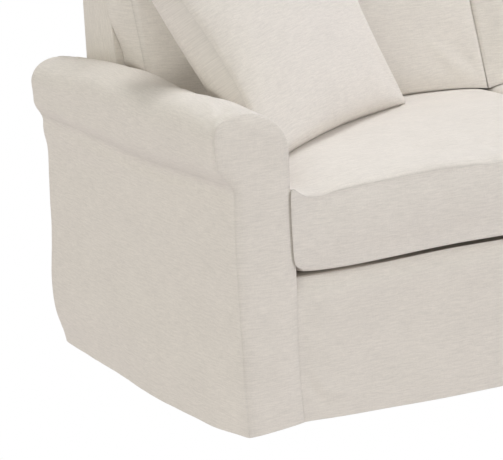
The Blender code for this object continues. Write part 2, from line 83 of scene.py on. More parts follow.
SEAM_SAG = 0.012  # how far the seam under it sags halfway along
SIDE_SWELL = 0.010  # how far the outside arm stands out all over, towards the rear
LOW_SWELL = 0.016  # and how much more low down
REAR_TUCK = 0.009  # how far its hem turns in again at the rear
PANEL_CROWN = 0.008
HEAD_FOOT = 0.485  # where the arm front's head starts, above its stem
HEAD_MIDDLE = 0.585
BACK_SIDE = 0.086
BACK_CORNER_RADIUS = 0.070
INSIDE_BACK_FOOT = 0.757
INSIDE_BACK_TOP = 0.832
NOTCH_FRONT = 0.800  # how deep the roll runs before it is cut out round the back
BORDER_WIDTH = 0.12

# Seams and cloth
SEAM_GAP = 0.0001  # half the space between two edges that are sewn together
SEAM_HOLD = 0.005  # the seam keeps its line; the cloth gathers this far from it
FAR = 1.0
ALLOWANCE = 0.007  # the seam allowance that turns in behind a seam
GRAIN = 0.0065  # spacing of the points on a panel
HEM_FOLD = 0.030
HEM_LINE = 0.0022  # how wide the groove of its stitches is

# Cushions
SEAT_SEAM_LOW = 0.3135
SEAT_SEAM_TOP = 0.475
SEAT_CROWN = 0.044
SEAT_SIDE = 0.1285
SEAT_FRONT = -0.003
SEAT_REAR = 0.754
SEAT_BULGE = 0.010
MIDDLE_SINK = 0.45  # how much flatter a seat is where it meets the other one
RAIL_SHADOW = 0.004  # how far the seat's lower edge stands up from the rail
SEAT_FLARE = 0.016  # how far the seat's front corner bulges over the arm's edge
SEAT_LIP = 0.009  # and how far it stands forward there
BACK_CUSHION_SIDE = 0.096
BACK_CUSHION_FOOT = 0.5035
FOOT_DROOP = 0.0125  # how much lower its foot is where it meets the other one
BACK_CUSHION_TOP = 0.960
BACK_CUSHION_FACE = 0.650
BACK_CUSHION_SLOPE = 0.37
BACK_CUSHION_BEND = 0.780  # above this height its face stands steeper
BACK_CUSHION_CROWN = 0.048
CORNER_FILL = 0.28  # how much fuller it is low down beside the arm
BACK_CUSHION_EDGE = 0.120  # of its face, beside the arm
BETWEEN_CUSHIONS = 0.0014
ARM_MARGIN = 0.020
ARM_STATION = 0.02  # spacing of the arm's sections that cushions are kept clear of
PILLOW_SIDE = 0.644
PILLOW_CROWN = 0.088
PILLOW_REAR_CROWN = 0.121
PILLOW_PINCH = 0.203
PILLOW_CORNER = (0.653, 0.533, 0.507)
PILLOW_TURN = 37.1
PILLOW_LEAN_LOW = 34.2
PILLOW_LEAN_RIGHT = 6.2
PILLOW_LEAN_LEFT = 26.7
# The simulated filling: how much smaller its cover starts, how hard it presses, for how long, how
# far its folds spread, what share of them is kept and how far one may stand out
SIM_START = 0.985
SIM_PRESSURE = 4.0
SIM_FRAMES = 16
SIM_BLUR = 40
SIM_SHARE = 0.35
SIM_CAP = 0.005
SIM_CLOTH = {
    "quality": 4,
    "mass": 0.3,
    "tension_stiffness": 15.0,
    "compression_stiffness": 15.0,
    "shear_stiffness": 5.0,
    "bending_stiffness": 0.5,
    "air_damping": 2.0,
    "use_pressure": True,
    "uniform_pressure_force": SIM_PRESSURE,
}
SEAT_HALF = (HALF_WIDTH - BETWEEN_CUSHIONS / 2 - SEAT_SIDE) / 2
SEAT_MIDDLE = SEAT_SIDE + SEAT_HALF
BACK_CUSHION_HALF = (HALF_WIDTH - BETWEEN_CUSHIONS / 2 - BACK_CUSHION_SIDE) / 2
BACK_CUSHION_MIDDLE = BACK_CUSHION_SIDE + BACK_CUSHION_HALF

ARM_STEM = ((-0.003, 0.000), (-0.006, 0.110), (-0.007, 0.250), (-0.008, 0.390), (-0.005, 0.468))
ARM_NECK = (-0.004, 0.501)
ARM_ROLL = (
    (-0.013, 0.517),
    (-0.027, 0.533),
    (-0.037, 0.552),
    (-0.042, 0.590),
    (-0.040, 0.620),
    (-0.027, 0.644),
    (0.003, 0.656),
    (0.032, 0.660),
    (0.064, 0.653),
    (0.096, 0.634),
    (0.1185, 0.606),
    (0.1265, 0.574),
    (0.1262, 0.530),
    (0.1255, 0.420),
    (0.1260, DECK_HEIGHT + 0.004),
)
RAIL_SEAM = ((0.1235, 0.500), (0.1250, DECK_HEIGHT), (0.1205, 0.150), (0.1225, 0.050), (0.1270, 0.000))

# The camera, from a fit to straight lines of the sofa: its place, its turn, its tilt down and its
# roll in degrees, and its lens in millimetres
CAMERA_PLACE = (-3.9078, -7.2240, 2.1279)
CAMERA_YAW = 24.153
CAMERA_PITCH = 12.992
CAMERA_ROLL = -3.391
CAMERA_LENS = 275.66


def ease(value, low, high):
    """0 below low, 1 above high, and smooth between them."""
    share = np.clip((value - low) / (high - low), 0.0, 1.0)
    return share * share * (3 - 2 * share)


def bell(value, middle, reach):
    return np.exp(-(((value - middle) / reach) ** 2))


def smooth_line(points, steps=12):
    """A Catmull-Rom curve through the points, with this many steps to each stretch."""
    points = np.array(points, float)
    padded = np.vstack([2 * points[0] - points[1], points, 2 * points[-1] - points[-2]])
    count = len(padded) - 3
    before, start, end, after = (padded[k : count + k, None] for k in range(4))
    t = (np.arange(steps) / steps)[None, :, None]
    curve = 0.5 * (
        2 * start
        + (end - before) * t
        + (2 * before - 5 * start + 4 * end - after) * t**2
        + (3 * start - before - 3 * end + after) * t**3
    )
    return np.vstack([curve.reshape(-1, points.shape[1]), points[-1]])


def length_along(line):
    return np.concatenate([[0], np.cumsum(np.linalg.norm(np.diff(line, axis=0), axis=1))])


def points_along(line, wanted):
    along = length_along(line)
    return np.stack([np.interp(wanted, along, line[:, k]) for k in range(line.shape[1])], axis=1)


def graded(low, high, step):
    """Positions from low to high, closer together at both ends, where seams turn the cloth in."""
    ends = np.array([0.0, 0.0012, 0.0028, 0.0050, 0.0080])
    count = max(int(round((high - low - 2 * ends[-1]) / step)), 2)
    middle = np.linspace(low + ends[-1], high - ends[-1], count + 1)[1:-1]
    return np.concatenate([low + ends, middle, (high - ends)[::-1]])


def seam_draw(line, depth):
    """How far the seams at the arm's two ends draw its outline in.

    In front it is most on the roll's outer side, a soft valley, and least on its inner side.
    """
    nearest = max(min(depth, DEPTH - depth), 0.0)
    roll = ease(line[:, 1], SEAM_UNDER_ROLL - 0.03, SEAM_UNDER_ROLL + 0.03)
    soft = roll * (1 - ease(line[:, 0], 0.0, 0.05)) * (depth < DEPTH / 2)
    tight = ease(line[:, 0], 0.03, 0.08)
    inset = SEAM_INSET + (HEAD_INSET - SEAM_INSET) * soft + (TIGHT_INSET - SEAM_INSET) * tight
    reach = SEAM_REACH + (HEAD_REACH - SEAM_REACH) * soft + (TIGHT_REACH - SEAM_REACH) * tight
    return inset * np.exp(-nearest / reach)


def hang(line, depth):
    """Where the arm's front outline goes at this depth along the arm."""
    across, height = line[:, 0].copy(), line[:, 1].copy()
    along = depth / DEPTH
    outer = 1 - ease(across, 0.0, 0.06)
    swell = SIDE_SWELL * ease(along, 0.0, 0.6)
    swell = swell + LOW_SWELL * bell(height, 0.13, 0.11) * ease(along, 0.05, 0.7)
    swell += 0.004 * bell(height, 0.32, 0.11) * ease(along, 0.3, 0.9)
    tuck = REAR_TUCK * ease(along, 0.72, 1.0) * (1 - ease(height, 0.0, 0.08))
    flare = HEM_FLARE * (1 - ease(height, 0.0, 0.26)) * ease(along, 0.0, 0.14)
    flare = flare * (1 - ease(along, 0.36, 0.72))
    low = 1 - ease(height, 0.46, 0.52)
    across -= outer * low * (swell - tuck + flare)
    across -= NECK_FILL * bell(line[:, 1], 0.505, 0.045) * ease(along, 0.15, 0.95) * outer
    across -= ROLL_SPREAD * bell(line[:, 1], 0.610, 0.045) * ease(along, 0.35, 0.95) * outer
    high = ease(height, SEAM_UNDER_ROLL, ARM_HEIGHT)
    drop = ROLL_DROP - 0.006 * bell(line[:, 0], 0.0, 0.03)
    height -= high * (drop * ease(along, 0.60, 0.97) + 0.004 * bell(along, 0.34, 0.09))
    height -= SEAM_SAG * bell(height, SEAM_UNDER_ROLL, 0.05) * bell(along, 0.40, 0.25) * outer
    return np.stack([across, height], axis=1)


def draw_in(line, amount):
    """The line moved to its right-hand side, which is the arm's inside."""
    ways = np.gradient(line, axis=0)
    ways /= np.linalg.norm(ways, axis=1)[:, None]
    amount = np.broadcast_to(amount, len(line))[:, None]
    return line + amount * np.stack([ways[:, 1], -ways[:, 0]], axis=1)


def arm_outline(line, depth):
    return draw_in(hang(line, depth), seam_draw(line, depth))


def arm_grid(side, start, end, depths):
    """Points over part of the arm's outline, from start to end along it, at each depth."""
    spots = graded(start, end, GRAIN)
    along = length_along(ARM_LINE)
    points = []
    for depth in depths:
        line = arm_outline(ARM_LINE, depth)
        across, height = (np.interp(spots, along, line[:, k]) for k in range(2))
        points.append(world(side, across, depth, height))
    return np.stack(points)


ARM_LINE = smooth_line((*ARM_STEM, ARM_NECK, *ARM_ROLL))
ROLL_START = int(np.argmin(np.linalg.norm(ARM_LINE - ARM_ROLL[0], axis=1)))
OUTER_LENGTH = length_along(ARM_LINE)[ROLL_START]
ARM_LENGTH = length_along(ARM_LINE)[-1]


def world(side, across, depth, height):
    """side is -1 for the left half and 1 for the right."""
    across, depth, height = np.broadcast_arrays(across, depth, height)
    return np.stack([side * (HALF_WIDTH - across), FRONT_Y + depth, height], axis=-1)


def at_height(line, height):
    order = np.argsort(line[:, 1])
    return np.interp(height, line[order, 1], line[order, 0])


def end_outline(depth):
    """An arm's outer and inner edges at this depth, each as a line from hem to top."""
    outer = arm_outline(ARM_LINE, depth)
    top = int(np.argmax(outer[:, 1]))
    return outer[: top + 1], outer[top:]


def crown(share):
    return 1 - abs(2 * share - 1) ** 4


def undulate(u, v, seed, size, amount):
    """Slow, uneven waves about this long, from 0 up and down by about amount."""
    dice = np.random.default_rng(seed)
    total = np.zeros(np.broadcast(u, v).shape)
    for _ in range(7):
        turn, phase = dice.uniform(0, 2 * math.pi, 2)
        pitch = 2 * math.pi / (size * dice.uniform(0.7, 1.6))
        total += np.sin(pitch * (u * math.cos(turn) + v * math.sin(turn)) + phase)
    return amount * total / 2.6


def puckers(along, away, seed, spacing, amount, reach):
    """Small gathers that a seam pulls into the cloth, across it, dying out away from it."""
    dice = np.random.default_rng(seed)
    total = np.zeros(np.broadcast(along, away).shape)
    for _ in range(4):
        phase = dice.uniform(0, 2 * math.pi)
        slant = dice.uniform(-0.25, 0.25)
        pitch = 2 * math.pi / (spacing * dice.uniform(0.7, 1.7))
        total += np.sin(pitch * (along + slant * away) + phase)
    gathered = 0.45 + 0.55 * np.sin(along / (spacing * 2.7) + seed) * np.sin(along / (spacing * 6.1))
    return amount * total / 2.0 * gathered * np.exp(-away / reach)


def crease(u, v, line, width, amount):
    """A fold along a short line of (u, v) points that fades out at both ends."""
    line = np.array(line, float)
    best = np.full(np.broadcast(u, v).shape, 1e9)
    share = np.zeros_like(best)
    along = length_along(line)
    for start, end, base in zip(line, line[1:], along):
        way = end - start
        size = np.linalg.norm(way)
        t = np.clip(((u - start[0]) * way[0] + (v - start[1]) * way[1]) / size**2, 0, 1)
        away = np.hypot(u - start[0] - t * way[0], v - start[1] - t * way[1])
        share = np.where(away < best, (base + t * size) / along[-1], share)
        best = np.minimum(best, away)
    return amount * np.exp(-((best / width) ** 2)) * np.sin(math.pi * np.clip(share, 0, 1)) ** 0.6


def folds(u, v, table):
    """All creases of a table, each given by its line, its width and how far it stands out."""
    return sum(crease(u, v, line, width, amount) for line, width, amount in table)


def hem_line(height, sink):
    """The narrow groove that the hem's stitches draw."""
    return sink * bell(height, HEM_FOLD, HEM_LINE)


def normals_of(points, outward):
    rows = np.gradient(points, axis=0)
    columns = np.gradient(points, axis=1)
    found = np.cross(rows, columns)
    found /= np.maximum(np.linalg.norm(found, axis=2), 1e-12)[..., None]
    facing = found @ np.array(outward, float)
    return -found if facing.sum() < 0 else found


def grid_faces(rows, columns, keep=None):
    index = np.arange(rows * columns).reshape(rows, columns)
    faces = np.stack([index[:-1, :-1], index[:-1, 1:], index[1:, 1:], index[1:, :-1]], axis=-1)
    if keep is not None:
        faces = faces[keep]
    return faces.reshape(-1, 4)


def turned_out(points, faces, outward):
    """The faces, all turned over if they look away from outward on the whole."""
    a, b, d = (points[faces[:, k]] for k in (0, 1, 3))
    return faces[:, ::-1] if (np.cross(b - a, d - a) * outward).sum() < 0 else faces


def placed(name, data):
    obj = bpy.data.objects.new(name, data)
    bpy.context.scene.collection.objects.link(obj)
    return obj


def mesh_object(name, points, faces, uv, cloth, seam, angle=50, merge=False):
    """uv holds a pair for each corner of each face, and seam each point's distance from a seam."""
    mesh = bpy.data.meshes.new(name)
    mesh.from_pydata(points.tolist(), [], faces.tolist())
    layer = mesh.uv_layers.new(name="cloth")
    layer.data.foreach_set("uv", np.asarray(uv, np.float32).ravel())
    distances = mesh.attributes.new("seam", "FLOAT", "POINT")
    distances.data.foreach_set("value", np.asarray(seam, np.float32).ravel())
    mesh.materials.append(cloth)
    if merge:
        shape = bmesh.new()
        shape.from_mesh(mesh)
        bmesh.ops.remove_doubles(shape, verts=shape.verts[:], dist=1e-5)
        shape.to_mesh(mesh)
        shape.free()
    mesh.shade_smooth()
    mesh.set_sharp_from_angle(angle=math.radians(angle))
    mesh.update()
    return placed(name, mesh)


def thicken(obj):
    thick = obj.modifiers.new("thickness", "SOLIDIFY")
    thick.thickness = CLOTH
    thick.offset = -1.0
    return obj


def panel(name, points, outward, relief, cloth, sewn="", swap=False, keep=None):
    """A sheet of cloth through a grid of points, with its relief and its turned-in seams.

    relief(u, v, wide, long) gives how far the cloth stands out; u runs along the rows and v from
    row to row. sewn names the edges that turn in: t and b for the last and first rows, l and r
    for the first and last columns, in capitals where the neighbour stands at a right angle.
    """
    middle_row, middle_column = points.shape[0] // 2, points.shape[1] // 2
    u = length_along(points[middle_row])
    v = length_along(points[:, middle_column])
    wide, long = u[-1], v[-1]
    u, v = np.meshgrid(u, v)
    out = normals_of(points, outward)
    from_edge = {"l": u, "r": wide - u, "b": v, "t": long - v}
    held = np.ones_like(u)
    seam = np.full_like(u, FAR)
    for edge in sewn.lower():
        held *= 1 - np.exp(-from_edge[edge] / SEAM_HOLD)
        seam = np.minimum(seam, from_edge[edge])
    points = points + (held * relief(u, v, wide, long))[..., None] * out
    out = normals_of(points, outward)
    for edge in sewn:
        first = edge.lower() in "bl"
        axis = 0 if edge.lower() in "bt" else 1
        points, out, u, v, seam = (np.moveaxis(a, axis, 0) for a in (points, out, u, v, seam))
        rim, beside = (0, 2) if first else (-1, -3)
        inward = -out[rim]
        if edge.isupper():
            back = points[beside] - points[rim]
            back /= np.maximum(np.linalg.norm(back, axis=1), 1e-9)[:, None]
            inward = (inward + back) / math.sqrt(2)
        flap = points[rim] + ALLOWANCE * inward
        extra = (flap[None], out[rim][None], u[rim][None], v[rim][None], seam[rim][None])
        joined = []
        for old, new in zip((points, out, u, v, seam), extra):
            joined.append(np.concatenate([new, old] if first else [old, new]))
        points, out, u, v, seam = (np.moveaxis(a, 0, axis) for a in joined)
        if keep is not None:
            keep = np.moveaxis(keep, axis, 0)
            keep = np.concatenate([keep[:1], keep] if first else [keep, keep[-1:]])
            keep = np.moveaxis(keep, 0, axis)
    rows, columns = points.shape[:2]
    faces = grid_faces(rows, columns, keep)
    flat = points.reshape(-1, 3)
    faces = turned_out(flat, faces, out.reshape(-1, 3)[faces[:, 0]])
    uv = np.stack([u.ravel(), v.ravel()], axis=1)[faces]
    if swap:
        uv = uv[..., ::-1]
    used, inverse = np.unique(faces, return_inverse=True)
    made = mesh_object(name, flat[used], inverse.reshape(faces.shape), uv, cloth, seam.ravel()[used])
    return thicken(made)


def set_up(piece, node):
    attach(piece, "root")
    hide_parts(node)


# ---------------------------------------------------------------- linen


class Graph:
    """The nodes of a material or a world, made and joined in short calls."""

    def __init__(self, owner):
        owner.use_nodes = True
        self.nodes, self.links = owner.node_tree.nodes, owner.node_tree.links

    def feed(self, socket, value):
        """A plain value or another node's output into a socket."""
        if isinstance(value, (int, float, tuple)):
            socket.default_value = value
        else:
            self.links.new(value, socket)

    def node(self, kind, **values):
        new = self.nodes.new(kind)
        for key, value in values.items():
            self.feed(new.inputs[key], value)
        return new

    def maths(self, operation, *values):
        new = self.nodes.new("ShaderNodeMath")
        new.operation = operation
        for socket, value in zip(new.inputs, values):
            self.feed(socket, value)
        return new.outputs[0]

    def vectors(self, operation, first, second):
        new = self.nodes.new("ShaderNodeVectorMath")
        new.operation = operation
        self.feed(new.inputs[0], first)
        self.feed(new.inputs["Scale" if operation == "SCALE" else 1], second)
        return new.outputs["Value" if operation == "DOT_PRODUCT" else 0]

    def by_ray(self, given, seen, output):
        """given lights the object; seen is what the camera sees behind it."""
        mix = self.nodes.new("ShaderNodeMixShader")
        ray = self.nodes.new("ShaderNodeLightPath").outputs["Is Camera Ray"]
        for socket, source in zip(mix.inputs, (ray, given, seen)):
            self.links.new(source, socket)
        self.links.new(mix.outputs[0], self.nodes[output].inputs["Surface"])


# How far the threads sway, and how wide a seam's line, ridge and painted soft shadow are
THREAD_SWAY = 0.010
SEAM_LINE = 0.0012
SEAM_RIDGE = 0.0045
SEAM_PAINTED_SHADOW = 0.008
LINEN_LOOK = {
    "Roughness": 0.92,
    "Metallic": 0.0,
    "Specular IOR Level": 0.18,
    "Sheen Weight": 0.12,
    "Sheen Roughness": 0.45,
}


def linen(name, colour, seed, seam_line_painted_shade):
    """Plain-weave linen: slubs along both threads, a fine weave, slow changes of colour, and painted
    shade along its seams.
    """
    made = bpy.data.materials.new(name)
    graph = Graph(made)
    node, maths, vectors = graph.node, graph.maths, graph.vectors
    shader = graph.nodes["Principled BSDF"]
    for key, value in LINEN_LOOK.items():
        graph.feed(shader.inputs[key], value)

    place = node("ShaderNodeUVMap")
    place.uv_map = "cloth"
    place = place.outputs["UV"]
    sway = node("ShaderNodeTexNoise", Vector=place, Scale=14.0, Detail=2.0, Roughness=0.5)
    swayed = vectors("SUBTRACT", sway.outputs["Color"], (0.5, 0.5, 0.5))
    thread_place = vectors("ADD", place, vectors("SCALE", swayed, THREAD_SWAY))

    def threads(scale_u, scale_v, shift, detail):
        """Noise drawn out along one thread."""
        scale, shift = (scale_u, scale_v, 1.0), (shift, seed * 3.7, 0.0)
        stretched = node("ShaderNodeMapping", Vector=thread_place, Scale=scale, Location=shift)
        stretched = stretched.outputs["Vector"]
        noise = node("ShaderNodeTexNoise", Vector=stretched, Scale=1.0, Detail=detail, Roughness=0.6)
        return noise.outputs["Fac"]

    long_slub = threads(26.0, 260.0, 1.3, 2.0)
    short_slub = threads(70.0, 430.0, 4.4, 2.0)
    warp = threads(420.0, 45.0, 8.1, 2.0)
    speckle = threads(310.0, 330.0, 6.6, 1.0)
    mottle = threads(9.0, 14.0, 2.9, 4.0)

    split = node("ShaderNodeSeparateXYZ", Vector=thread_place)
    uneven_u = maths("MULTIPLY", threads(210.0, 60.0, 5.7, 1.0), 11.0)
    uneven_v = maths("MULTIPLY", threads(60.0, 240.0, 6.9, 1.0), 11.0)
    wave_u = maths("SINE", maths("MULTIPLY_ADD", split.outputs[0], 2 * math.pi / 0.0016, uneven_u))
    wave_v = maths("SINE", maths("MULTIPLY_ADD", split.outputs[1], 2 * math.pi / 0.0013, uneven_v))
    weave = maths("MULTIPLY", wave_u, wave_v)

    slub = maths("MULTIPLY_ADD", long_slub, 0.48, maths("MULTIPLY", warp, 0.16))
    slub = maths("MULTIPLY_ADD", short_slub, 0.40, slub)
    slub = maths("MULTIPLY_ADD", speckle, 0.24, slub)
    shade = maths("MULTIPLY_ADD", maths("SUBTRACT", slub, 0.64), 0.50, 1.0)
    shade = maths("MULTIPLY_ADD", maths("SUBTRACT", mottle, 0.5), 0.095, shade)
    shade = maths("MULTIPLY_ADD", weave, 0.012, shade)

    # Along a seam the cloth is drawn into a line with a soft ridge beside it.
    near = node("ShaderNodeAttribute")
    near.attribute_name = "seam"
    near = near.outputs["Fac"]
    line = maths("EXPONENT", maths("MULTIPLY", near, -1 / SEAM_LINE))
    ridge = maths("DIVIDE", maths("SUBTRACT", near, SEAM_RIDGE), SEAM_RIDGE / 2)
    ridge = maths("EXPONENT", maths("MULTIPLY", maths("MULTIPLY", ridge, ridge), -1.0))
    painted_seam_shadow = maths("EXPONENT", maths("MULTIPLY", near, -1 / SEAM_PAINTED_SHADOW))
    # Painted shade: the colour is darkened in the seam's line, and a soft painted shadow is laid beside
    # it.
    shade = maths("MULTIPLY_ADD", line, -seam_line_painted_shade, shade)
    shade = maths("MULTIPLY_ADD", painted_seam_shadow, -0.03, shade)

    height = maths("MULTIPLY_ADD", weave, 0.10, slub)
    height = maths("MULTIPLY_ADD", ridge, 0.55, height)
    height = maths("MULTIPLY_ADD", line, -0.9, height)
    bump = node("ShaderNodeBump", Strength=0.35, Distance=0.0010, Height=height)
    graph.feed(shader.inputs["Base Color"], vectors("SCALE", colour, shade))
    graph.feed(shader.inputs["Normal"], bump.outputs[0])
    return made


# The last number is how dark each material paints shade into its seams' lines.
PANEL_LINEN = linen("linen_panel", (0.770, 0.724, 0.665), 1, 0.02)
FILLED_COLOUR = (0.775, 0.730, 0.675)
FILLED_LINEN = linen("linen_filled", FILLED_COLOUR, 2, 0.07)
BOXED_LINEN = linen("linen_boxed", FILLED_COLOUR, 3, 0.13)


# ---------------------------------------------------------------- the arms


def stations(step):
    return graded(SEAM_GAP, DEPTH - SEAM_GAP, step)


def outside_arm(side, name):
    points = arm_grid(side, 0.0, OUTER_LENGTH - SEAM_GAP, stations(GRAIN))
    seed = 11 if side < 0 else 12

    def relief(u, v, wide, long):
        top = wide - u
        out = undulate(u, v, seed, 0.30, 0.0016) * ease(u, -0.1, 0.2) * ease(top, 0.0, 0.15)
        out += undulate(u, v, seed + 30, 0.09, 0.00035)
        out += puckers(v, top, seed + 1, 0.016, 0.0007, 0.020)
        out += puckers(u, v, seed + 2, 0.020, 0.0004, 0.012)
        out += puckers(u, long - v, seed + 3, 0.020, 0.0004, 0.012)
        line = [(wide - 0.02, 0.02), (wide - 0.05, 0.07), (wide - 0.07, 0.16)]
        out += crease(u, v, line, 0.012, 0.0012)
        return out - hem_line(u, 0.0009)

    return panel(name, points, (side, 0, 0), relief, PANEL_LINEN, "BTr", swap=True)


# Folds of the roll, each a line of (up round the roll from its lower seam, back from the head),
# how wide it is and how far it stands out
ROLL_FOLDS = (
    (((0.005, 0.015), (0.020, 0.060), (0.028, 0.150)), 0.009, -0.0022),
    (((0.018, 0.010), (0.040, 0.045), (0.048, 0.120)), 0.009, -0.0016),
    (((0.030, 0.014), (0.070, 0.012), (0.130, 0.014)), 0.011, -0.0054),
    (((0.140, 0.008), (0.165, 0.030), (0.185, 0.075)), 0.008, -0.0024),
    (((0.160, 0.006), (0.190, 0.022), (0.220, 0.055)), 0.007, -0.0018),
    (((0.150, 0.004), (0.163, 0.014), (0.182, 0.020)), 0.009, -0.0040),
    (((0.158, 0.018), (0.172, 0.034), (0.188, 0.040)), 0.010, 0.0034),
    (((0.126, 0.012), (0.140, 0.034), (0.148, 0.064)), 0.010, -0.0032),
    (((0.186, 0.030), (0.192, 0.070), (0.205, 0.120)), 0.012, -0.0034),
    (((0.172, 0.060), (0.184, 0.100), (0.192, 0.150)), 0.012, 0.0030),
    (((0.150, 0.080), (0.165, 0.200), (0.175, 0.330)), 0.035, 0.0050),
    (((0.255, 0.360), (0.215, 0.470), (0.150, 0.600)), 0.045, -0.0080),
    (((0.230, 0.640), (0.215, 0.760), (0.200, 0.880)), 0.045, 0.0050),
)


def arm_roll(side, name):
    points = arm_grid(side, OUTER_LENGTH + SEAM_GAP, ARM_LENGTH, stations(GRAIN))
    seed = 21 if side < 0 else 22

    def relief(u, v, wide, long):
        out = undulate(u, v, seed, 0.24, 0.0024) * ease(u, 0.0, 0.10) * ease(wide - u, 0.10, 0.32)
        out += undulate(u, v, seed + 30, 0.09, 0.0005) * ease(wide - u, 0.0, 0.20)
        out += puckers(v, u, seed + 1, 0.015, 0.0009, 0.022)
        out += puckers(u, v, seed + 2, 0.014, 0.0012, 0.016)
        out += puckers(u, long - v, seed + 3, 0.018, 0.0006, 0.012)
        return out + folds(u, v, ROLL_FOLDS)

    centre = (points[:-1, :-1] + points[1:, 1:]) / 2
    inner = abs(centre[..., 0]) < HALF_WIDTH - BACK_SIDE - 2 * SOLID_CLOTH
    notch = inner & (centre[..., 1] > FRONT_Y + NOTCH_FRONT)
    return panel(name, points, (0, 0, 1), relief, PANEL_LINEN, "BTl", swap=True, keep=~notch)


def hem_rise(height):
    """How far an arm front's inner edge is lifted to meet the front rail's hem."""
    return HEM_LIFT * (1 - ease(height, 0.0, HEM_EVENS_OUT))


def arm_rim():
    """The keyhole's rim in three runs: up its outer side, over its head, and down by the rail.

    The two sides have points at the same heights, and the head is the same on both sides of its top.
    """
    outline = arm_outline(ARM_LINE, 0.0)
    outer, over = end_outline(0.0)
    rail_side = smooth_line(RAIL_SEAM)
    levels = graded(0.0, HEAD_FOOT, GRAIN)
    left = np.stack([at_height(outer, levels), levels], axis=1)
    raised = levels + hem_rise(levels)
    right = np.stack([at_height(rail_side, raised) - SEAM_GAP, raised], axis=1)
    spine = levels + SPINE_SHARE * hem_rise(levels)
    top = int(np.argmax(outline[:, 1]))
    rising = outline[: top + 1][outline[: top + 1, 1] > HEAD_FOOT]
    falling = over[over[:, 1] > HEAD_FOOT]
    shares = np.linspace(0.0, 1.0, 58)
    rising = np.vstack([left[-1], rising])
    falling = np.vstack([falling, right[-1]])
    rising = points_along(rising, shares * length_along(rising)[-1])
    falling = points_along(falling, shares * length_along(falling)[-1])
    return left, rising, falling, right[::-1], shares, spine


def arm_front(side, name):
    """The keyhole panel: rows run from its seam to a spine up its middle, all round its head."""
    left, rising, falling, right, shares, low_spine = arm_rim()
    rim = np.vstack([left, rising[1:], falling[1:], right[1:]])
    climb = HEAD_FOOT + (HEAD_MIDDLE - HEAD_FOOT) * np.minimum(shares / 0.6, 1.0)
    spine_height = np.concatenate([low_spine, climb[1:], climb[::-1][1:], low_spine[::-1][1:]])
    spine = np.stack([0.052 - 0.012 * ease(spine_height, 0.45, 0.60), spine_height], axis=1)
    shares = np.array([0.0, 0.02, 0.05, 0.09, 0.14, 0.2, 0.28, 0.37, 0.47, 0.58, 0.7, 0.83, 1.0])
    plane = rim[:, None] + (spine - rim)[:, None] * shares[None, :, None]
    rest = np.linalg.norm(rim - spine, axis=1)[:, None]
    from_rim = rest * shares
    swell = PANEL_CROWN * (1 - (1 - shares) ** 4)
    low = ease(plane[..., 1], -0.05, 0.10)
    points = world(side, plane[..., 0], -swell * (0.5 + 0.5 * low), plane[..., 1])
    u, v = plane[..., 0], plane[..., 1]
    along = np.broadcast_to(length_along(rim)[:, None], u.shape)
    seed = 31 if side < 0 else 32
    out = undulate(u, v, seed, 0.16, 0.0009) * ease(from_rim, 0.0, 0.03)
    held = 1 - np.exp(-from_rim / SEAM_HOLD)
    out += puckers(along, from_rim, seed + 1, 0.016, 0.0007, 0.011) * held
    lift = hem_rise(v) * np.clip(u / ARM_FRONT_WIDTH, 0, 1)
    points[..., 1] -= out - hem_line(v - lift, 0.0006)
    # The seam allowance turns back behind the seam.
    inward = points[:, 2] - points[:, 0]
    flap = points[:, 0] + ALLOWANCE * inward / np.linalg.norm(inward, axis=1, keepdims=True)
    flap[:, 1] = points[:, 0, 1] + ALLOWANCE
    points = np.concatenate([flap[:, None], points], axis=1)
    grids = (u, v, from_rim)
    u, v, seam = (np.concatenate([grid[:, :1], grid], axis=1) for grid in grids)
    flat = points.reshape(-1, 3)
    faces = turned_out(flat, grid_faces(*points.shape[:2]), (0, -1, 0))
    uv = np.stack([u.ravel(), v.ravel()], axis=1)[faces]
    return thicken(mesh_object(name, flat, faces, uv, PANEL_LINEN, seam, merge=True))


# ---------------------------------------------------------------- front rail and deck


def rail_rise(across):
    """How much higher the rail's top and the seats stand away from the arms."""
    return RAIL_RISE * ease(across, 0.20, 0.52)


# Folds of the rail beside each arm, each a line of (in from the arm, up from the hem), how wide it
# is and how far it stands out
RAIL_FOLDS = (
    (((0.015, 0.125), (0.05, 0.062), (0.12, 0.040)), 0.014, 0.0034),
    (((0.010, 0.105), (0.04, 0.040), (0.08, 0.018)), 0.012, -0.0026),
    (((0.004, 0.20), (0.022, 0.18), (0.03, 0.15)), 0.006, 0.0010),
)


def front_rail(name):
    rail_side = smooth_line(RAIL_SEAM)
    shares = graded(0.0, DECK_HEIGHT - HEM_LIFT, 0.0055) / (DECK_HEIGHT - HEM_LIFT)
    height = HEM_LIFT + shares * (DECK_HEIGHT - HEM_LIFT - CLOTH)
    edge = HALF_WIDTH - at_height(rail_side, height) - SEAM_GAP
    span = graded(-1.0, 1.0, 0.0075)
    x = edge[:, None] * span
    near = ease(edge[:, None] - abs(x), 0.0, 0.06)
    depth = -0.004 * near + 0.014 * bell(shares, 1.0, 0.08)[:, None]
    depth = depth - 0.004 * bell(shares, 0.0, 0.30)[:, None] * np.sin(9 * x) * near
    rise = rail_rise(HALF_WIDTH - abs(x)) * ease(shares, 0.5, 1.0)[:, None]
    points = np.stack([x, FRONT_Y + depth, height[:, None] + rise], axis=-1)

    def relief(u, v, wide, long):
        ends = np.minimum(u, wide - u)
        out = undulate(u, v, 41, 0.26, 0.0016) * ease(ends, 0.0, 0.06) * ease(long - v, 0.0, 0.06)
        out += undulate(u, v, 42, 0.08, 0.0003)
        out += puckers(v, u, 43, 0.020, 0.0010, 0.018)
        out += puckers(v, wide - u, 44, 0.020, 0.0010, 0.018)
        out += folds(u, v, RAIL_FOLDS) + folds(wide - u, v, RAIL_FOLDS)
        return out - hem_line(v, 0.0008)

    return panel(name, points, (0, -1, 0), relief, PANEL_LINEN, "lrT")


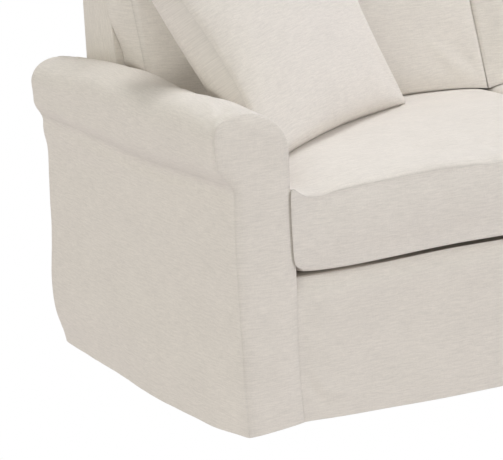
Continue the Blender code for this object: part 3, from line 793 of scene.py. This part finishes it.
def seat_deck(name):
    edge = HALF_WIDTH - ARM_ROLL[-1][0] - CLEAR
    front = FRONT_Y + 2 * SOLID_CLOTH + SEAM_REACH
    rear = FRONT_Y + INSIDE_BACK_FOOT - CLEAR
    x, y = np.meshgrid(graded(-edge, edge, 0.014), graded(front, rear, 0.014))
    points = np.stack([x, y, np.full_like(x, DECK_HEIGHT)], axis=-1)

    def relief(u, v, wide, long):
        rim = np.minimum(np.minimum(u, wide - u), np.minimum(v, long - v))
        return -abs(undulate(u, v, 51, 0.20, 0.0015)) * ease(rim, 0.0, 0.05)

    return panel(name, points, (0, 0, 1), relief, PANEL_LINEN)


# ---------------------------------------------------------------- the back


def inside_back_depth(height):
    share = (height - DECK_HEIGHT) / (BACK_HEIGHT - DECK_HEIGHT)
    return INSIDE_BACK_FOOT + (INSIDE_BACK_TOP - INSIDE_BACK_FOOT) * share * abs(share)


def back_side(height, inset):
    """The back's side, in from the hem's corner, with its rounded upper corner."""
    rise = np.maximum(height - (BACK_HEIGHT - BACK_CORNER_RADIUS), 0.0)
    turn = BACK_CORNER_RADIUS - np.sqrt(np.maximum(BACK_CORNER_RADIUS**2 - rise**2, 0.0))
    return BACK_SIDE + turn + inset


def corner_levels(low, step):
    """Heights from low to just under the back's top, closer together round its corners."""
    straight = BACK_HEIGHT - BACK_CORNER_RADIUS
    turns = straight + BACK_CORNER_RADIUS * np.sin(np.radians(np.linspace(0, 86, 16)))
    return np.concatenate([np.linspace(low, straight, int((straight - low) / step) + 2)[:-1], turns])


def inside_back(name):
    _, over = end_outline(inside_back_depth(ARM_HEIGHT))
    arm_top = over[0, 1]
    low = np.linspace(DECK_HEIGHT + 0.001, arm_top - 0.004, 34)
    low_edge = HALF_WIDTH - np.maximum(at_height(over, low), BACK_SIDE) - SEAM_INSET
    high = corner_levels(arm_top + CLEAR, 0.009)
    high_edge = HALF_WIDTH - back_side(high, SEAM_INSET)
    height = np.concatenate([low, high])
    edge = np.concatenate([low_edge, high_edge])
    x = edge[:, None] * graded(-1.0, 1.0, 0.012)
    depth = inside_back_depth(height)[:, None]
    points = np.stack(np.broadcast_arrays(x, FRONT_Y + depth, height[:, None]), axis=-1)

    def relief(u, v, wide, long):
        return -abs(undulate(u, v, 61, 0.22, 0.0012)) * ease(long - v, 0.0, 0.05) * ease(v, 0.0, 0.05)

    return panel(name, points, (0, -1, 0), relief, PANEL_LINEN, "T")


def outside_back(name):
    """Its lower part is as wide as the arms and follows their rolls; its upper part is narrower."""
    rim = arm_outline(ARM_LINE, DEPTH)
    last = int(np.argmax((rim[:, 0] > BACK_SIDE + SEAM_INSET) & (rim[:, 1] > 0.4)))
    rim = rim[: last + 1]
    rim = points_along(rim, graded(0.0, length_along(rim)[-1], 0.0085))
    inner_top = rim[-1, 1]
    level = length_along(rim) / length_along(rim)[-1] * inner_top
    span = graded(-1.0, 1.0, 0.0095)
    edge = HALF_WIDTH - rim[:, 0]
    inward = (1 - abs(span)) * HALF_WIDTH
    settle = ease(inward, 0.0, 0.16)
    height = rim[:, 1][:, None] * (1 - settle) + level[:, None] * settle
    low_x = edge[:, None] * span
    low_swell = PANEL_CROWN * ease(level, 0.0, 0.1)[:, None] * crown((span + 1) / 2)
    high = corner_levels(inner_top + CLEAR, 0.009)
    high_x = (HALF_WIDTH - back_side(high, SEAM_INSET))[:, None] * span
    high_swell = PANEL_CROWN * ease(BACK_HEIGHT - high, 0.0, 0.06)[:, None] * crown((span + 1) / 2)
    high_rows = np.broadcast_to(high[:, None], high_x.shape)
    x = np.vstack([low_x, high_x])
    height = np.vstack([height, high_rows])
    swell = np.vstack([low_swell, high_swell])
    points = np.stack([x, FRONT_Y + DEPTH + swell, height], axis=-1)

    def relief(u, v, wide, long):
        ends = np.minimum(u, wide - u)
        out = undulate(u, v, 71, 0.34, 0.0018) * ease(ends, 0.0, 0.10) * ease(long - v, 0.0, 0.10)
        out += undulate(u, v, 72, 0.10, 0.0004) * ease(ends, 0.0, 0.05)
        out += puckers(v, ends, 73, 0.022, 0.0006, 0.016)
        out += puckers(u, long - v, 74, 0.018, 0.0008, 0.018)
        return out - hem_line(v, 0.0008)

    return panel(name, points, (0, 1, 0), relief, PANEL_LINEN, "LRT")


def arm_height_at(across, depth):
    line = arm_outline(ARM_LINE, depth)[ROLL_START:]
    wide = int(np.argmin(line[:, 0]))
    narrow = int(np.argmax(line[:, 0]))
    return float(np.interp(across, line[wide:narrow, 0], line[wide:narrow, 1]))


def border_path(low):
    """The strip round the back's sides and top: x and height, from the left arm to the right."""
    side_x = HALF_WIDTH - BACK_SIDE
    straight = BACK_HEIGHT - BACK_CORNER_RADIUS
    turn = np.radians(np.linspace(0, 90, 18)[:-1])
    rise = np.linspace(low, straight, 24)[:-1]
    top = np.linspace(BACK_CORNER_RADIUS - side_x, 0, 92)
    turn_x = -side_x + BACK_CORNER_RADIUS * (1 - np.cos(turn))
    turn_height = straight + BACK_CORNER_RADIUS * np.sin(turn)
    x = np.concatenate([np.full_like(rise, -side_x), turn_x, top])
    height = np.concatenate([rise, turn_height, np.full_like(top, BACK_HEIGHT)])
    half = np.stack([x, height], axis=1)
    return np.vstack([half, half[-2::-1] * (-1, 1)])


def back_border(name):
    inset_at = ((0.0, 1.0), (0.06, 0.4), (0.2, 0.0), (0.5, -0.6), (0.8, 0.0), (0.94, 0.4), (1.0, 1.0))
    columns = []
    for share in graded(0.0, BORDER_WIDTH, 0.005) / BORDER_WIDTH:
        inset = np.interp(share, *np.array(inset_at).T)
        near_depth = inside_back_depth(0.64) + share * (DEPTH - inside_back_depth(0.64))
        path = border_path(arm_height_at(BACK_SIDE, near_depth) + CLEAR / 2)
        line = draw_in(path, SEAM_INSET * inset)
        front = inside_back_depth(path[:, 1]) + SEAM_GAP
        rear = DEPTH - SEAM_GAP
        depth = front + share * (rear - front)
        columns.append(np.stack([line[:, 0], FRONT_Y + depth, line[:, 1]], axis=-1))
    points = np.stack(columns)

    def relief(u, v, wide, long):
        out = undulate(u, v, 81, 0.20, 0.0010) * ease(np.minimum(v, long - v), 0.0, 0.03)
        out += puckers(u, v, 82, 0.016, 0.0008, 0.012)
        return out + puckers(u, long - v, 83, 0.016, 0.0008, 0.012)

    return panel(name, points, (0, 0, 1), relief, PANEL_LINEN, "BT")


# ---------------------------------------------------------------- cushions


def round_plan(a, b, power):
    most, least = np.maximum(abs(a), abs(b)), np.minimum(abs(a), abs(b))
    return (1 + (least / np.maximum(most, 1e-9)) ** 8) ** (-power)


def back_fullness(a, b):
    """A back cushion is fuller beside the arm than beside the other cushion."""
    wide = np.maximum(1 - a * a, 0.0) ** np.where(a < 0, 0.4, 0.6)
    corner = 1 + CORNER_FILL * bell(a, -0.8, 0.22) * bell(b, -0.4, 0.6)
    return wide * np.maximum(1 - b * b, 0.0) ** 0.6 * corner


def seat_fullness(a, b):
    """Fullest a little in front of its middle; behind that it slopes down to the back cushion."""
    beside = (1 - MIDDLE_SINK * a**6) * np.maximum(1 - a**60, 0.0) ** 0.5
    wide = np.where(a < 0, np.maximum(1 - a**8, 0.0) ** 0.6, beside)
    front = np.maximum(1 - b * b, 0.0) ** 0.68
    rear = (1 - 0.55 * b) * np.maximum(1 - b**24, 0.0) ** 0.5
    return wide * np.where(b < 0, front, rear)


def seat_top(across, depth):
    a = np.clip((across - SEAT_MIDDLE) / SEAT_HALF, -1, 1)
    b = np.clip((depth - SEAT_FRONT) / (SEAT_REAR - SEAT_FRONT) * 2 - 1, -1, 1)
    return SEAT_SEAM_TOP + SEAT_CROWN * seat_fullness(a, b)


def seat_point(a, b, c):
    k = round_plan(a, b, 0.02 + 0.02 * (c < 0) * c**8)
    middle = (SEAT_FRONT + SEAT_REAR) / 2
    depth = middle + (SEAT_REAR - SEAT_FRONT) / 2 * b * k
    share = (c + 1) / 2
    # Its front corner beside the arm bulges out over the edge of the arm's front.
    corner = ((1 - a) / 2) ** 20 * (1 - 0.4 * c**8)
    depth = depth - SEAT_LIP * corner * (1 - ease(depth, 0.0, 0.020))
    across = SEAT_MIDDLE + SEAT_HALF * a * k * (1 - 0.004 * c * c)
    across = across - SEAT_FLARE * corner * (1 - ease(depth, -0.0055, 0.0015))
    depth = depth - SEAT_BULGE * (1 - c * c) * (1 - a**4) * (b < -0.999)
    height = SEAT_SEAM_LOW + share * (SEAT_SEAM_TOP - SEAT_SEAM_LOW)
    front = ease(-b, 0.7, 1.0)
    foot_rise = 0.003 * (a * b) ** 12 + (RAIL_SHADOW + rail_rise(across)) * front
    height = height + (1 - share) * foot_rise
    corner_rise = 0.028 * bell(across, 0.113, 0.024) - 0.006 * bell(across, 0.175, 0.05)
    height = height + share * front * corner_rise
    height = height + share * front * 0.0105 * bell(across, 0.45, 0.17)
    height = height + SEAT_CROWN * seat_fullness(a, b) * (c > 0.999)
    seam = puckers(across, 0 * a, 91, 0.05, 0.0016, 1.0) * ease(-b, 0.90, 1.0) * share
    return across, depth, height + seam


def back_cushion_front(height):
    rise = np.minimum(height, BACK_CUSHION_BEND) - BACK_CUSHION_FOOT
    above = np.maximum(height - BACK_CUSHION_BEND, 0.0)
    return BACK_CUSHION_FACE + BACK_CUSHION_SLOPE * (rise + 0.35 * above)


def back_face(across, height):
    a = np.clip((across - BACK_CUSHION_MIDDLE) / BACK_CUSHION_HALF, -1, 1)
    b = (height - BACK_CUSHION_FOOT) / (BACK_CUSHION_TOP - BACK_CUSHION_FOOT) * 2 - 1
    return back_cushion_front(height) - BACK_CUSHION_CROWN * back_fullness(a, np.clip(b, -1, 1))


def beside_arm(across, depth, height, clearance):
    """across, moved in if need be so that the point clears the arm."""
    moved = across.copy()
    stations_of = np.round(depth / ARM_STATION).astype(int)
    for station in np.unique(stations_of):
        here = stations_of == station
        line = arm_outline(ARM_LINE, float(np.clip(station * ARM_STATION, 0, DEPTH)))[ROLL_START:]
        narrow = int(np.argmax(line[:, 0]))
        top = int(np.argmax(line[:, 1]))
        level = np.clip(height[here] - ARM_MARGIN, line[narrow, 1], line[top, 1])
        inner = np.interp(-level, -line[top : narrow + 1, 1], line[top : narrow + 1, 0])
        above = height[here] > line[top, 1] + ARM_MARGIN
        moved[here] = np.where(above, across[here], np.maximum(across[here], inner + clearance))
    return moved


def back_cushion_edge(height, share):
    """The outer edge of a back cushion, in from the hem's corner; share runs from front to rear."""
    rear = 0.108 - 0.022 * ease(height, 0.64, 0.75)
    return BACK_CUSHION_EDGE + (rear - BACK_CUSHION_EDGE) * share


def back_cushion_point(a, b, c):
    k = round_plan(a, b, np.where((a > 0) & (b < 0), 0.003, 0.02))
    share = (b * k + 1) / 2
    height = BACK_CUSHION_FOOT + share * (BACK_CUSHION_TOP - BACK_CUSHION_FOOT)
    height = height - FOOT_DROOP * np.maximum(a, 0.0) ** 6 * (1 - share) ** 6
    height = height + 0.014 * (1 - a * a) * (b > 0.999) * (1 - 0.5 * c * c)
    front = back_cushion_front(height)
    rear = inside_back_depth(height) - CLEAR
    depth = front + (c + 1) / 2 * (rear - front)
    depth = depth - BACK_CUSHION_CROWN * back_fullness(a, b) * (c < -0.999)
    swell = 0.008 * (1 - c * c) * (1 - b * b) * (a < -0.999)
    outer = back_cushion_edge(height, (c + 1) / 2)
    inner = HALF_WIDTH - BETWEEN_CUSHIONS / 2
    across = outer + (inner - outer) * (a * k + 1) / 2 - swell
    return beside_arm(across, depth, height, 2 * CLEAR), depth, height


def box_grid(counts):
    """A cube's surface in small squares: its points' steps along each axis, their places from -1
    to 1, its faces and each face's axis."""
    corners, axes = [], []
    for axis in range(3):
        one, two = [k for k in range(3) if k != axis]
        i, j = np.meshgrid(np.arange(counts[one]), np.arange(counts[two]), indexing="ij")
        for end in (0, counts[axis]):
            square = np.zeros((*i.shape, 4, 3), int)
            square[..., axis] = end
            for corner, (di, dj) in enumerate(((0, 0), (1, 0), (1, 1), (0, 1))):
                square[..., corner, one] = i + di
                square[..., corner, two] = j + dj
            outward = (end > 0) != (axis == 1)
            corners.append((square if outward else square[..., ::-1, :]).reshape(-1, 4, 3))
            axes.append(np.full(i.size, axis))
    corners = np.concatenate(corners)
    keys, faces = np.unique(corners.reshape(-1, 3), axis=0, return_inverse=True)
    spots = keys / np.array(counts) * 2 - 1
    spots = 0.6 * spots + 0.4 * np.sin(math.pi / 2 * spots)
    return keys, spots, faces.reshape(-1, 4), np.concatenate(axes)


def merged(points, faces):
    """Points that coincide made one: the points, the faces, and which one each point became."""
    _, first, inverse = np.unique(np.round(points, 5), axis=0, return_index=True, return_inverse=True)
    inverse = inverse.reshape(-1)
    return points[first], inverse[faces], inverse


def point_normals(points, faces):
    a, b, c, d = (points[faces[:, k]] for k in range(4))
    ways = np.cross(c - a, d - b)
    total = np.zeros_like(points)
    for corner in range(4):
        for axis in range(3):
            total[:, axis] += np.bincount(faces[:, corner], ways[:, axis], len(points))
    return total / np.maximum(np.linalg.norm(total, axis=1, keepdims=True), 1e-12)


def smoothed(values, faces, rounds):
    """Values at points, averaged again and again with those at the ends of the faces' sides."""
    first, second = faces.ravel(), np.roll(faces, -1, axis=1).ravel()
    count = np.bincount(first, minlength=len(values)) + np.bincount(second, minlength=len(values))
    for _ in range(rounds):
        total = np.bincount(first, values[second], len(values))
        total = total + np.bincount(second, values[first], len(values))
        values = (values + total / np.maximum(count, 1)) / 2
    return values


def blown_up(points, faces):
    """Where a cloth cover through these points settles when its filling presses it out."""
    mesh = bpy.data.meshes.new("cover")
    centre = points.mean(axis=0)
    mesh.from_pydata((centre + (points - centre) * SIM_START).tolist(), [], faces.tolist())
    mesh.update()
    obj = placed("cover", mesh)
    scene = bpy.context.scene
    cloth = obj.modifiers.new("cloth", "CLOTH")
    for key, value in SIM_CLOTH.items():
        setattr(cloth.settings, key, value)
    cloth.settings.effector_weights.gravity = 0.0
    cloth.collision_settings.use_collision = False
    cloth.point_cache.frame_start = 1
    cloth.point_cache.frame_end = SIM_FRAMES
    for step in range(1, SIM_FRAMES + 1):
        scene.frame_set(step)
    settled = obj.evaluated_get(bpy.context.evaluated_depsgraph_get()).to_mesh()
    places = np.empty(len(points) * 3)
    settled.vertices.foreach_get("co", places)
    bpy.data.objects.remove(obj)
    scene.frame_set(1)
    return places.reshape(-1, 3)


def wrinkles(points_at, counts, faces_kept):
    """How far a filled cover's cloth stands out or sinks in, at each of its points.

    A cover of half as many points is simulated; its slow swelling is left to the cushion's own
    form, and its folds are kept.
    """
    keys, _, fine_faces, axes = box_grid(counts)
    fine_faces = fine_faces[faces_kept(axes)]
    halves = tuple(max(count // 2, 1) for count in counts)
    coarse, spots, faces, axes = box_grid(halves)
    points, faces, inverse = merged(points_at(spots), faces[faces_kept(axes)])
    moved = blown_up(points, faces)
    centre = points.mean(axis=0)
    start = centre + (points - centre) * SIM_START
    out = np.einsum("ij,ij->i", moved - start, point_normals(points, faces))
    out = out - smoothed(out, faces, SIM_BLUR)
    grid = np.zeros(coarse.max(axis=0) + 1)
    grid[tuple(coarse.T)] = out[inverse]
    steps = np.array(counts) // np.array(halves)
    ends = (keys // steps, (keys + steps - 1) // steps)
    picks = itertools.product((0, 1), repeat=3)
    fine = sum(grid[tuple(ends[pick[k]][:, k] for k in range(3))] for pick in picks) / 8
    fine = smoothed(fine, fine_faces, 2)
    return SIM_CAP * np.tanh(SIM_SHARE * fine / SIM_CAP)


def filled(name, point_of, side, counts, shown, cuts):
    """A filled cushion in the frame's box, its cloth cut face by face.

    shown(a, b, c) is how freely its cloth may fold there: 0 where it lies on a neighbour. cuts
    gives the two directions in which each pair of its faces is cut.
    """
    keys, spots, faces, axes = box_grid(counts)

    def points_at(places):
        return world(side, *point_of(*places.T))

    points = points_at(spots)
    if side > 0:
        faces = faces[:, ::-1]
    corners = points[faces]
    uv = np.empty((len(faces), 4, 2))
    for axis, (one, two) in enumerate(cuts):
        uv[axes == axis, :, 0] = corners[axes == axis, :, one] + 3 * axis
        uv[axes == axis, :, 1] = corners[axes == axis, :, two] + 2 * axis
    fold = wrinkles(points_at, counts, lambda found: found >= 0) * shown(*spots.T)
    points = points + fold[:, None] * point_normals(points, faces)
    sizes = (points.max(axis=0) - points.min(axis=0)) / 2
    seam = np.sort((1 - abs(spots)) * sizes, axis=1)[:, 1]
    return mesh_object(name, points, faces, uv, BOXED_LINEN, seam)


def seat_shown(a, b, c):
    return (1 - abs(a) ** 24) * (1 - ease(b, -0.1, 0.5)) * ease(c, -1.0, -0.6)


def back_shown(a, b, c):
    return (1 - abs(a) ** 24) * ease(b, -1.0, -0.8) * ease(-c, -0.9, 0.3)


def pillow_point(p, q, face):
    """p runs to the pillow's right and q up it, from -1 to 1; face is -1 in front, 1 behind."""
    half = PILLOW_SIDE / 2
    pinch = np.where(p < 0, PILLOW_PINCH * (1 - 0.815 * q), 0.05)
    along = half * p * (1 - pinch * (1 - q * q) * p * p)
    up = half * q * (1 - 0.05 * (1 - p * p) * q * q) + half
    low = math.radians(PILLOW_LEAN_LOW)
    high = np.radians(PILLOW_LEAN_LEFT + (PILLOW_LEAN_RIGHT - PILLOW_LEAN_LEFT) * (p + 1) / 2)
    bend = (high - low) / PILLOW_SIDE
    lean = low + bend * up
    back = (math.cos(low) - np.cos(lean)) / bend
    rise = (np.sin(lean) - math.sin(low)) / bend
    # In front it slopes to its left edge and stands steep on its lower edge; behind it is boxy.
    left = np.maximum(1 - abs(p) ** 1.7, 0.0) ** 0.8
    sides = np.where(p < 0, left, np.maximum(1 - p * p, 0.0) ** 0.487)
    ends = np.maximum(1 - q * q, 0.0) ** np.where(q < 0, 0.385, 0.487)
    boxy = np.maximum((1 - p * p) * (1 - q * q), 0.0) ** 0.314
    puff = np.where(face < 0, -PILLOW_CROWN * sides * ends, PILLOW_REAR_CROWN * boxy)
    back = back + puff * np.cos(lean)
    rise = rise - puff * np.sin(lean)
    turn = math.radians(PILLOW_TURN)
    across = PILLOW_CORNER[0] + (along - half) * math.cos(turn) - back * math.sin(turn)
    depth = PILLOW_CORNER[1] + (along - half) * math.sin(turn) + back * math.cos(turn)
    height = PILLOW_CORNER[2] + rise
    behind = back_face(across, height) - 2 * CLEAR
    depth = np.where(height < BACK_CUSHION_TOP + 0.02, np.minimum(depth, behind), depth)
    across = beside_arm(across, depth, height, CLEAR)
    return across, depth, np.maximum(height, seat_top(across, depth) + CLEAR)


def corner_pillow(name, count):
    counts = (count, count, 1)
    _, spots, faces, axes = box_grid(counts)
    faces = faces[axes == 2]

    def points_at(places):
        return world(-1, *pillow_point(*places.T))

    points = points_at(spots)
    uv = spots[faces][..., :2] * PILLOW_SIDE / 2
    uv[spots[faces][:, 0, 2] > 0] += 2.0
    fold = wrinkles(points_at, counts, lambda found: found == 2) * (spots[:, 2] < 0)
    seam = (1 - abs(spots[:, :2]).max(axis=1)) * PILLOW_SIDE / 2
    fold = fold * (1 - np.exp(-seam / SEAM_HOLD))
    # The two faces share one seam all round.
    _, joined, inverse = merged(points, faces)
    whole = np.zeros(inverse.max() + 1)
    whole[inverse] = fold
    found = np.zeros((len(whole), 3))
    found[inverse] = points
    found = found + whole[:, None] * point_normals(found, joined)
    distance = np.zeros(len(whole))
    distance[inverse] = seam
    return mesh_object(name, found, joined, uv, FILLED_LINEN, distance, 80)


# ---------------------------------------------------------------- all pieces


SHEETS = []
for side, hand in ((-1, "left"), (1, "right")):
    SHEETS += [
        (outside_arm(side, f"arm_side_{hand}"), f"outside_arm_{hand}", (0.98, 0.57), None),
        (arm_roll(side, f"arm_over_{hand}"), f"arm_roll_{hand}", (0.98, 0.62), 0.56),
        (arm_front(side, f"arm_face_{hand}"), f"arm_front_{hand}", (0.19, 0.70), 0.105),
    ]
SHEETS += [
    (front_rail("rail_face"), "front_rail", (1.63, 0.35), None),
    (seat_deck("deck"), "seat_deck", (1.63, 0.78), None),
    (inside_back("back_inner"), "inside_back", (1.68, 0.60), None),
    (back_border("back_strip"), "back_border", (2.02, 0.16), None),
    (outside_back("back_outer"), "outside_back", (1.94, 0.92), 1.62),
]
for piece, node, flat, area in SHEETS:
    set_up(piece, node)

# The two axes along which the cloth of each pair of a cushion's faces is cut
SEAT_CUTS = ((1, 2), (0, 2), (0, 1))
BACK_CUTS = ((1, 2), (0, 1), (0, 2))
PADS = []
for side, hand in ((-1, "left"), (1, "right")):
    seat = filled(f"seat_pad_{hand}", seat_point, side, (100, 94, 22), seat_shown, SEAT_CUTS)
    back = filled(f"back_pad_{hand}", back_cushion_point, side, (110, 64, 22), back_shown, BACK_CUTS)
    PADS += [(seat, f"seat_cushion_{hand}", 0.85), (back, f"back_cushion_{hand}", 0.7)]
PADS.append((corner_pillow("pillow", 100), "corner_pillow", 0.6))
for piece, node, fill in PADS:
    set_up(piece, node)


# ---------------------------------------------------------------- stage, light and camera


FLOOR_REACH = 14.0
FLOOR_LEVEL = -0.010
FLOOR_GLOW = (0.733, 0.698, 0.704)
# The light all round: each patch of sky's bearing from the right and its height in degrees, how
# narrow it is, and its colour
SKY = (
    (0, 8, 6, (0.334, 0.330, 0.400)),
    (135, 8, 6, (0.735, 0.755, 0.620)),
    (225, 8, 6, (1.187, 1.209, 1.137)),
    (270, 8, 6, (0.548, 0.556, 0.525)),
    (30, 42, 8, (0.414, 0.468, 0.540)),
    (90, 42, 8, (0.150, 0.110, 0.125)),
    (150, 42, 8, (0.500, 0.468, 0.479)),
    (210, 42, 8, (1.118, 1.115, 1.082)),
    (330, 30, 80, (14.885, 14.746, 15.090)),
    (30, 70, 80, (15.187, 15.200, 15.300)),
)


def floor():
    mesh = bpy.data.meshes.new("floor")
    square = ((-1, -1), (1, -1), (1, 1), (-1, 1))
    corners = [(x * FLOOR_REACH, y * FLOOR_REACH, FLOOR_LEVEL) for x, y in square]
    mesh.from_pydata(corners, [], [(0, 1, 2, 3)])
    made = bpy.data.materials.new("floor")
    graph = Graph(made)
    graph.nodes.remove(graph.nodes["Principled BSDF"])
    seen = graph.node("ShaderNodeEmission", Strength=1.0)
    given = graph.node("ShaderNodeEmission", Color=(*FLOOR_GLOW, 1.0))
    graph.by_ray(given.outputs[0], seen.outputs[0], "Material Output")
    mesh.materials.append(made)
    placed("floor", mesh)


def sky():
    """White behind the object, and a soft studio's light on it."""
    made = bpy.data.worlds.new("sky")
    bpy.context.scene.world = made
    graph = Graph(made)
    way = graph.node("ShaderNodeTexCoord").outputs["Generated"]
    total = (0.0, 0.0, 0.0)
    for bearing, rise, narrow, colour in SKY:
        bearing, rise = math.radians(bearing), math.radians(rise)
        level = math.cos(rise)
        towards = (level * math.cos(bearing), level * math.sin(bearing), math.sin(rise))
        facing = graph.maths("MAXIMUM", graph.vectors("DOT_PRODUCT", way, towards), 0.0)
        patch = graph.vectors("SCALE", colour, graph.maths("POWER", facing, narrow))
        total = graph.vectors("ADD", total, patch)
    around = graph.nodes["Background"]
    graph.feed(around.inputs["Color"], total)
    graph.feed(around.inputs["Strength"], 1.0)
    behind = graph.node("ShaderNodeBackground", Color=(1.0, 1.0, 1.0, 1.0), Strength=1.0)
    graph.by_ray(around.outputs[0], behind.outputs[0], "World Output")


def camera():
    data = bpy.data.cameras.new("camera")
    data.sensor_width = 36.0
    data.lens = CAMERA_LENS
    data.clip_end = 60.0
    obj = placed("camera", data)
    yaw, pitch, roll = (math.radians(a) for a in (CAMERA_YAW, CAMERA_PITCH, CAMERA_ROLL))
    ahead = Vector((math.sin(yaw) * math.cos(pitch), math.cos(yaw) * math.cos(pitch), -math.sin(pitch)))
    right = Vector((math.cos(yaw), -math.sin(yaw), 0))
    up = right.cross(ahead)
    turned_right = math.cos(roll) * right + math.sin(roll) * up
    turned_up = -math.sin(roll) * right + math.cos(roll) * up
    matrix = Matrix((turned_right, turned_up, -ahead)).transposed().to_4x4()
    matrix.translation = Vector(CAMERA_PLACE)
    obj.matrix_world = matrix
    bpy.context.scene.camera = obj


floor()
sky()
camera()
bpy.context.scene.view_settings.view_transform = "Standard"

bpy.context.view_layer.update()
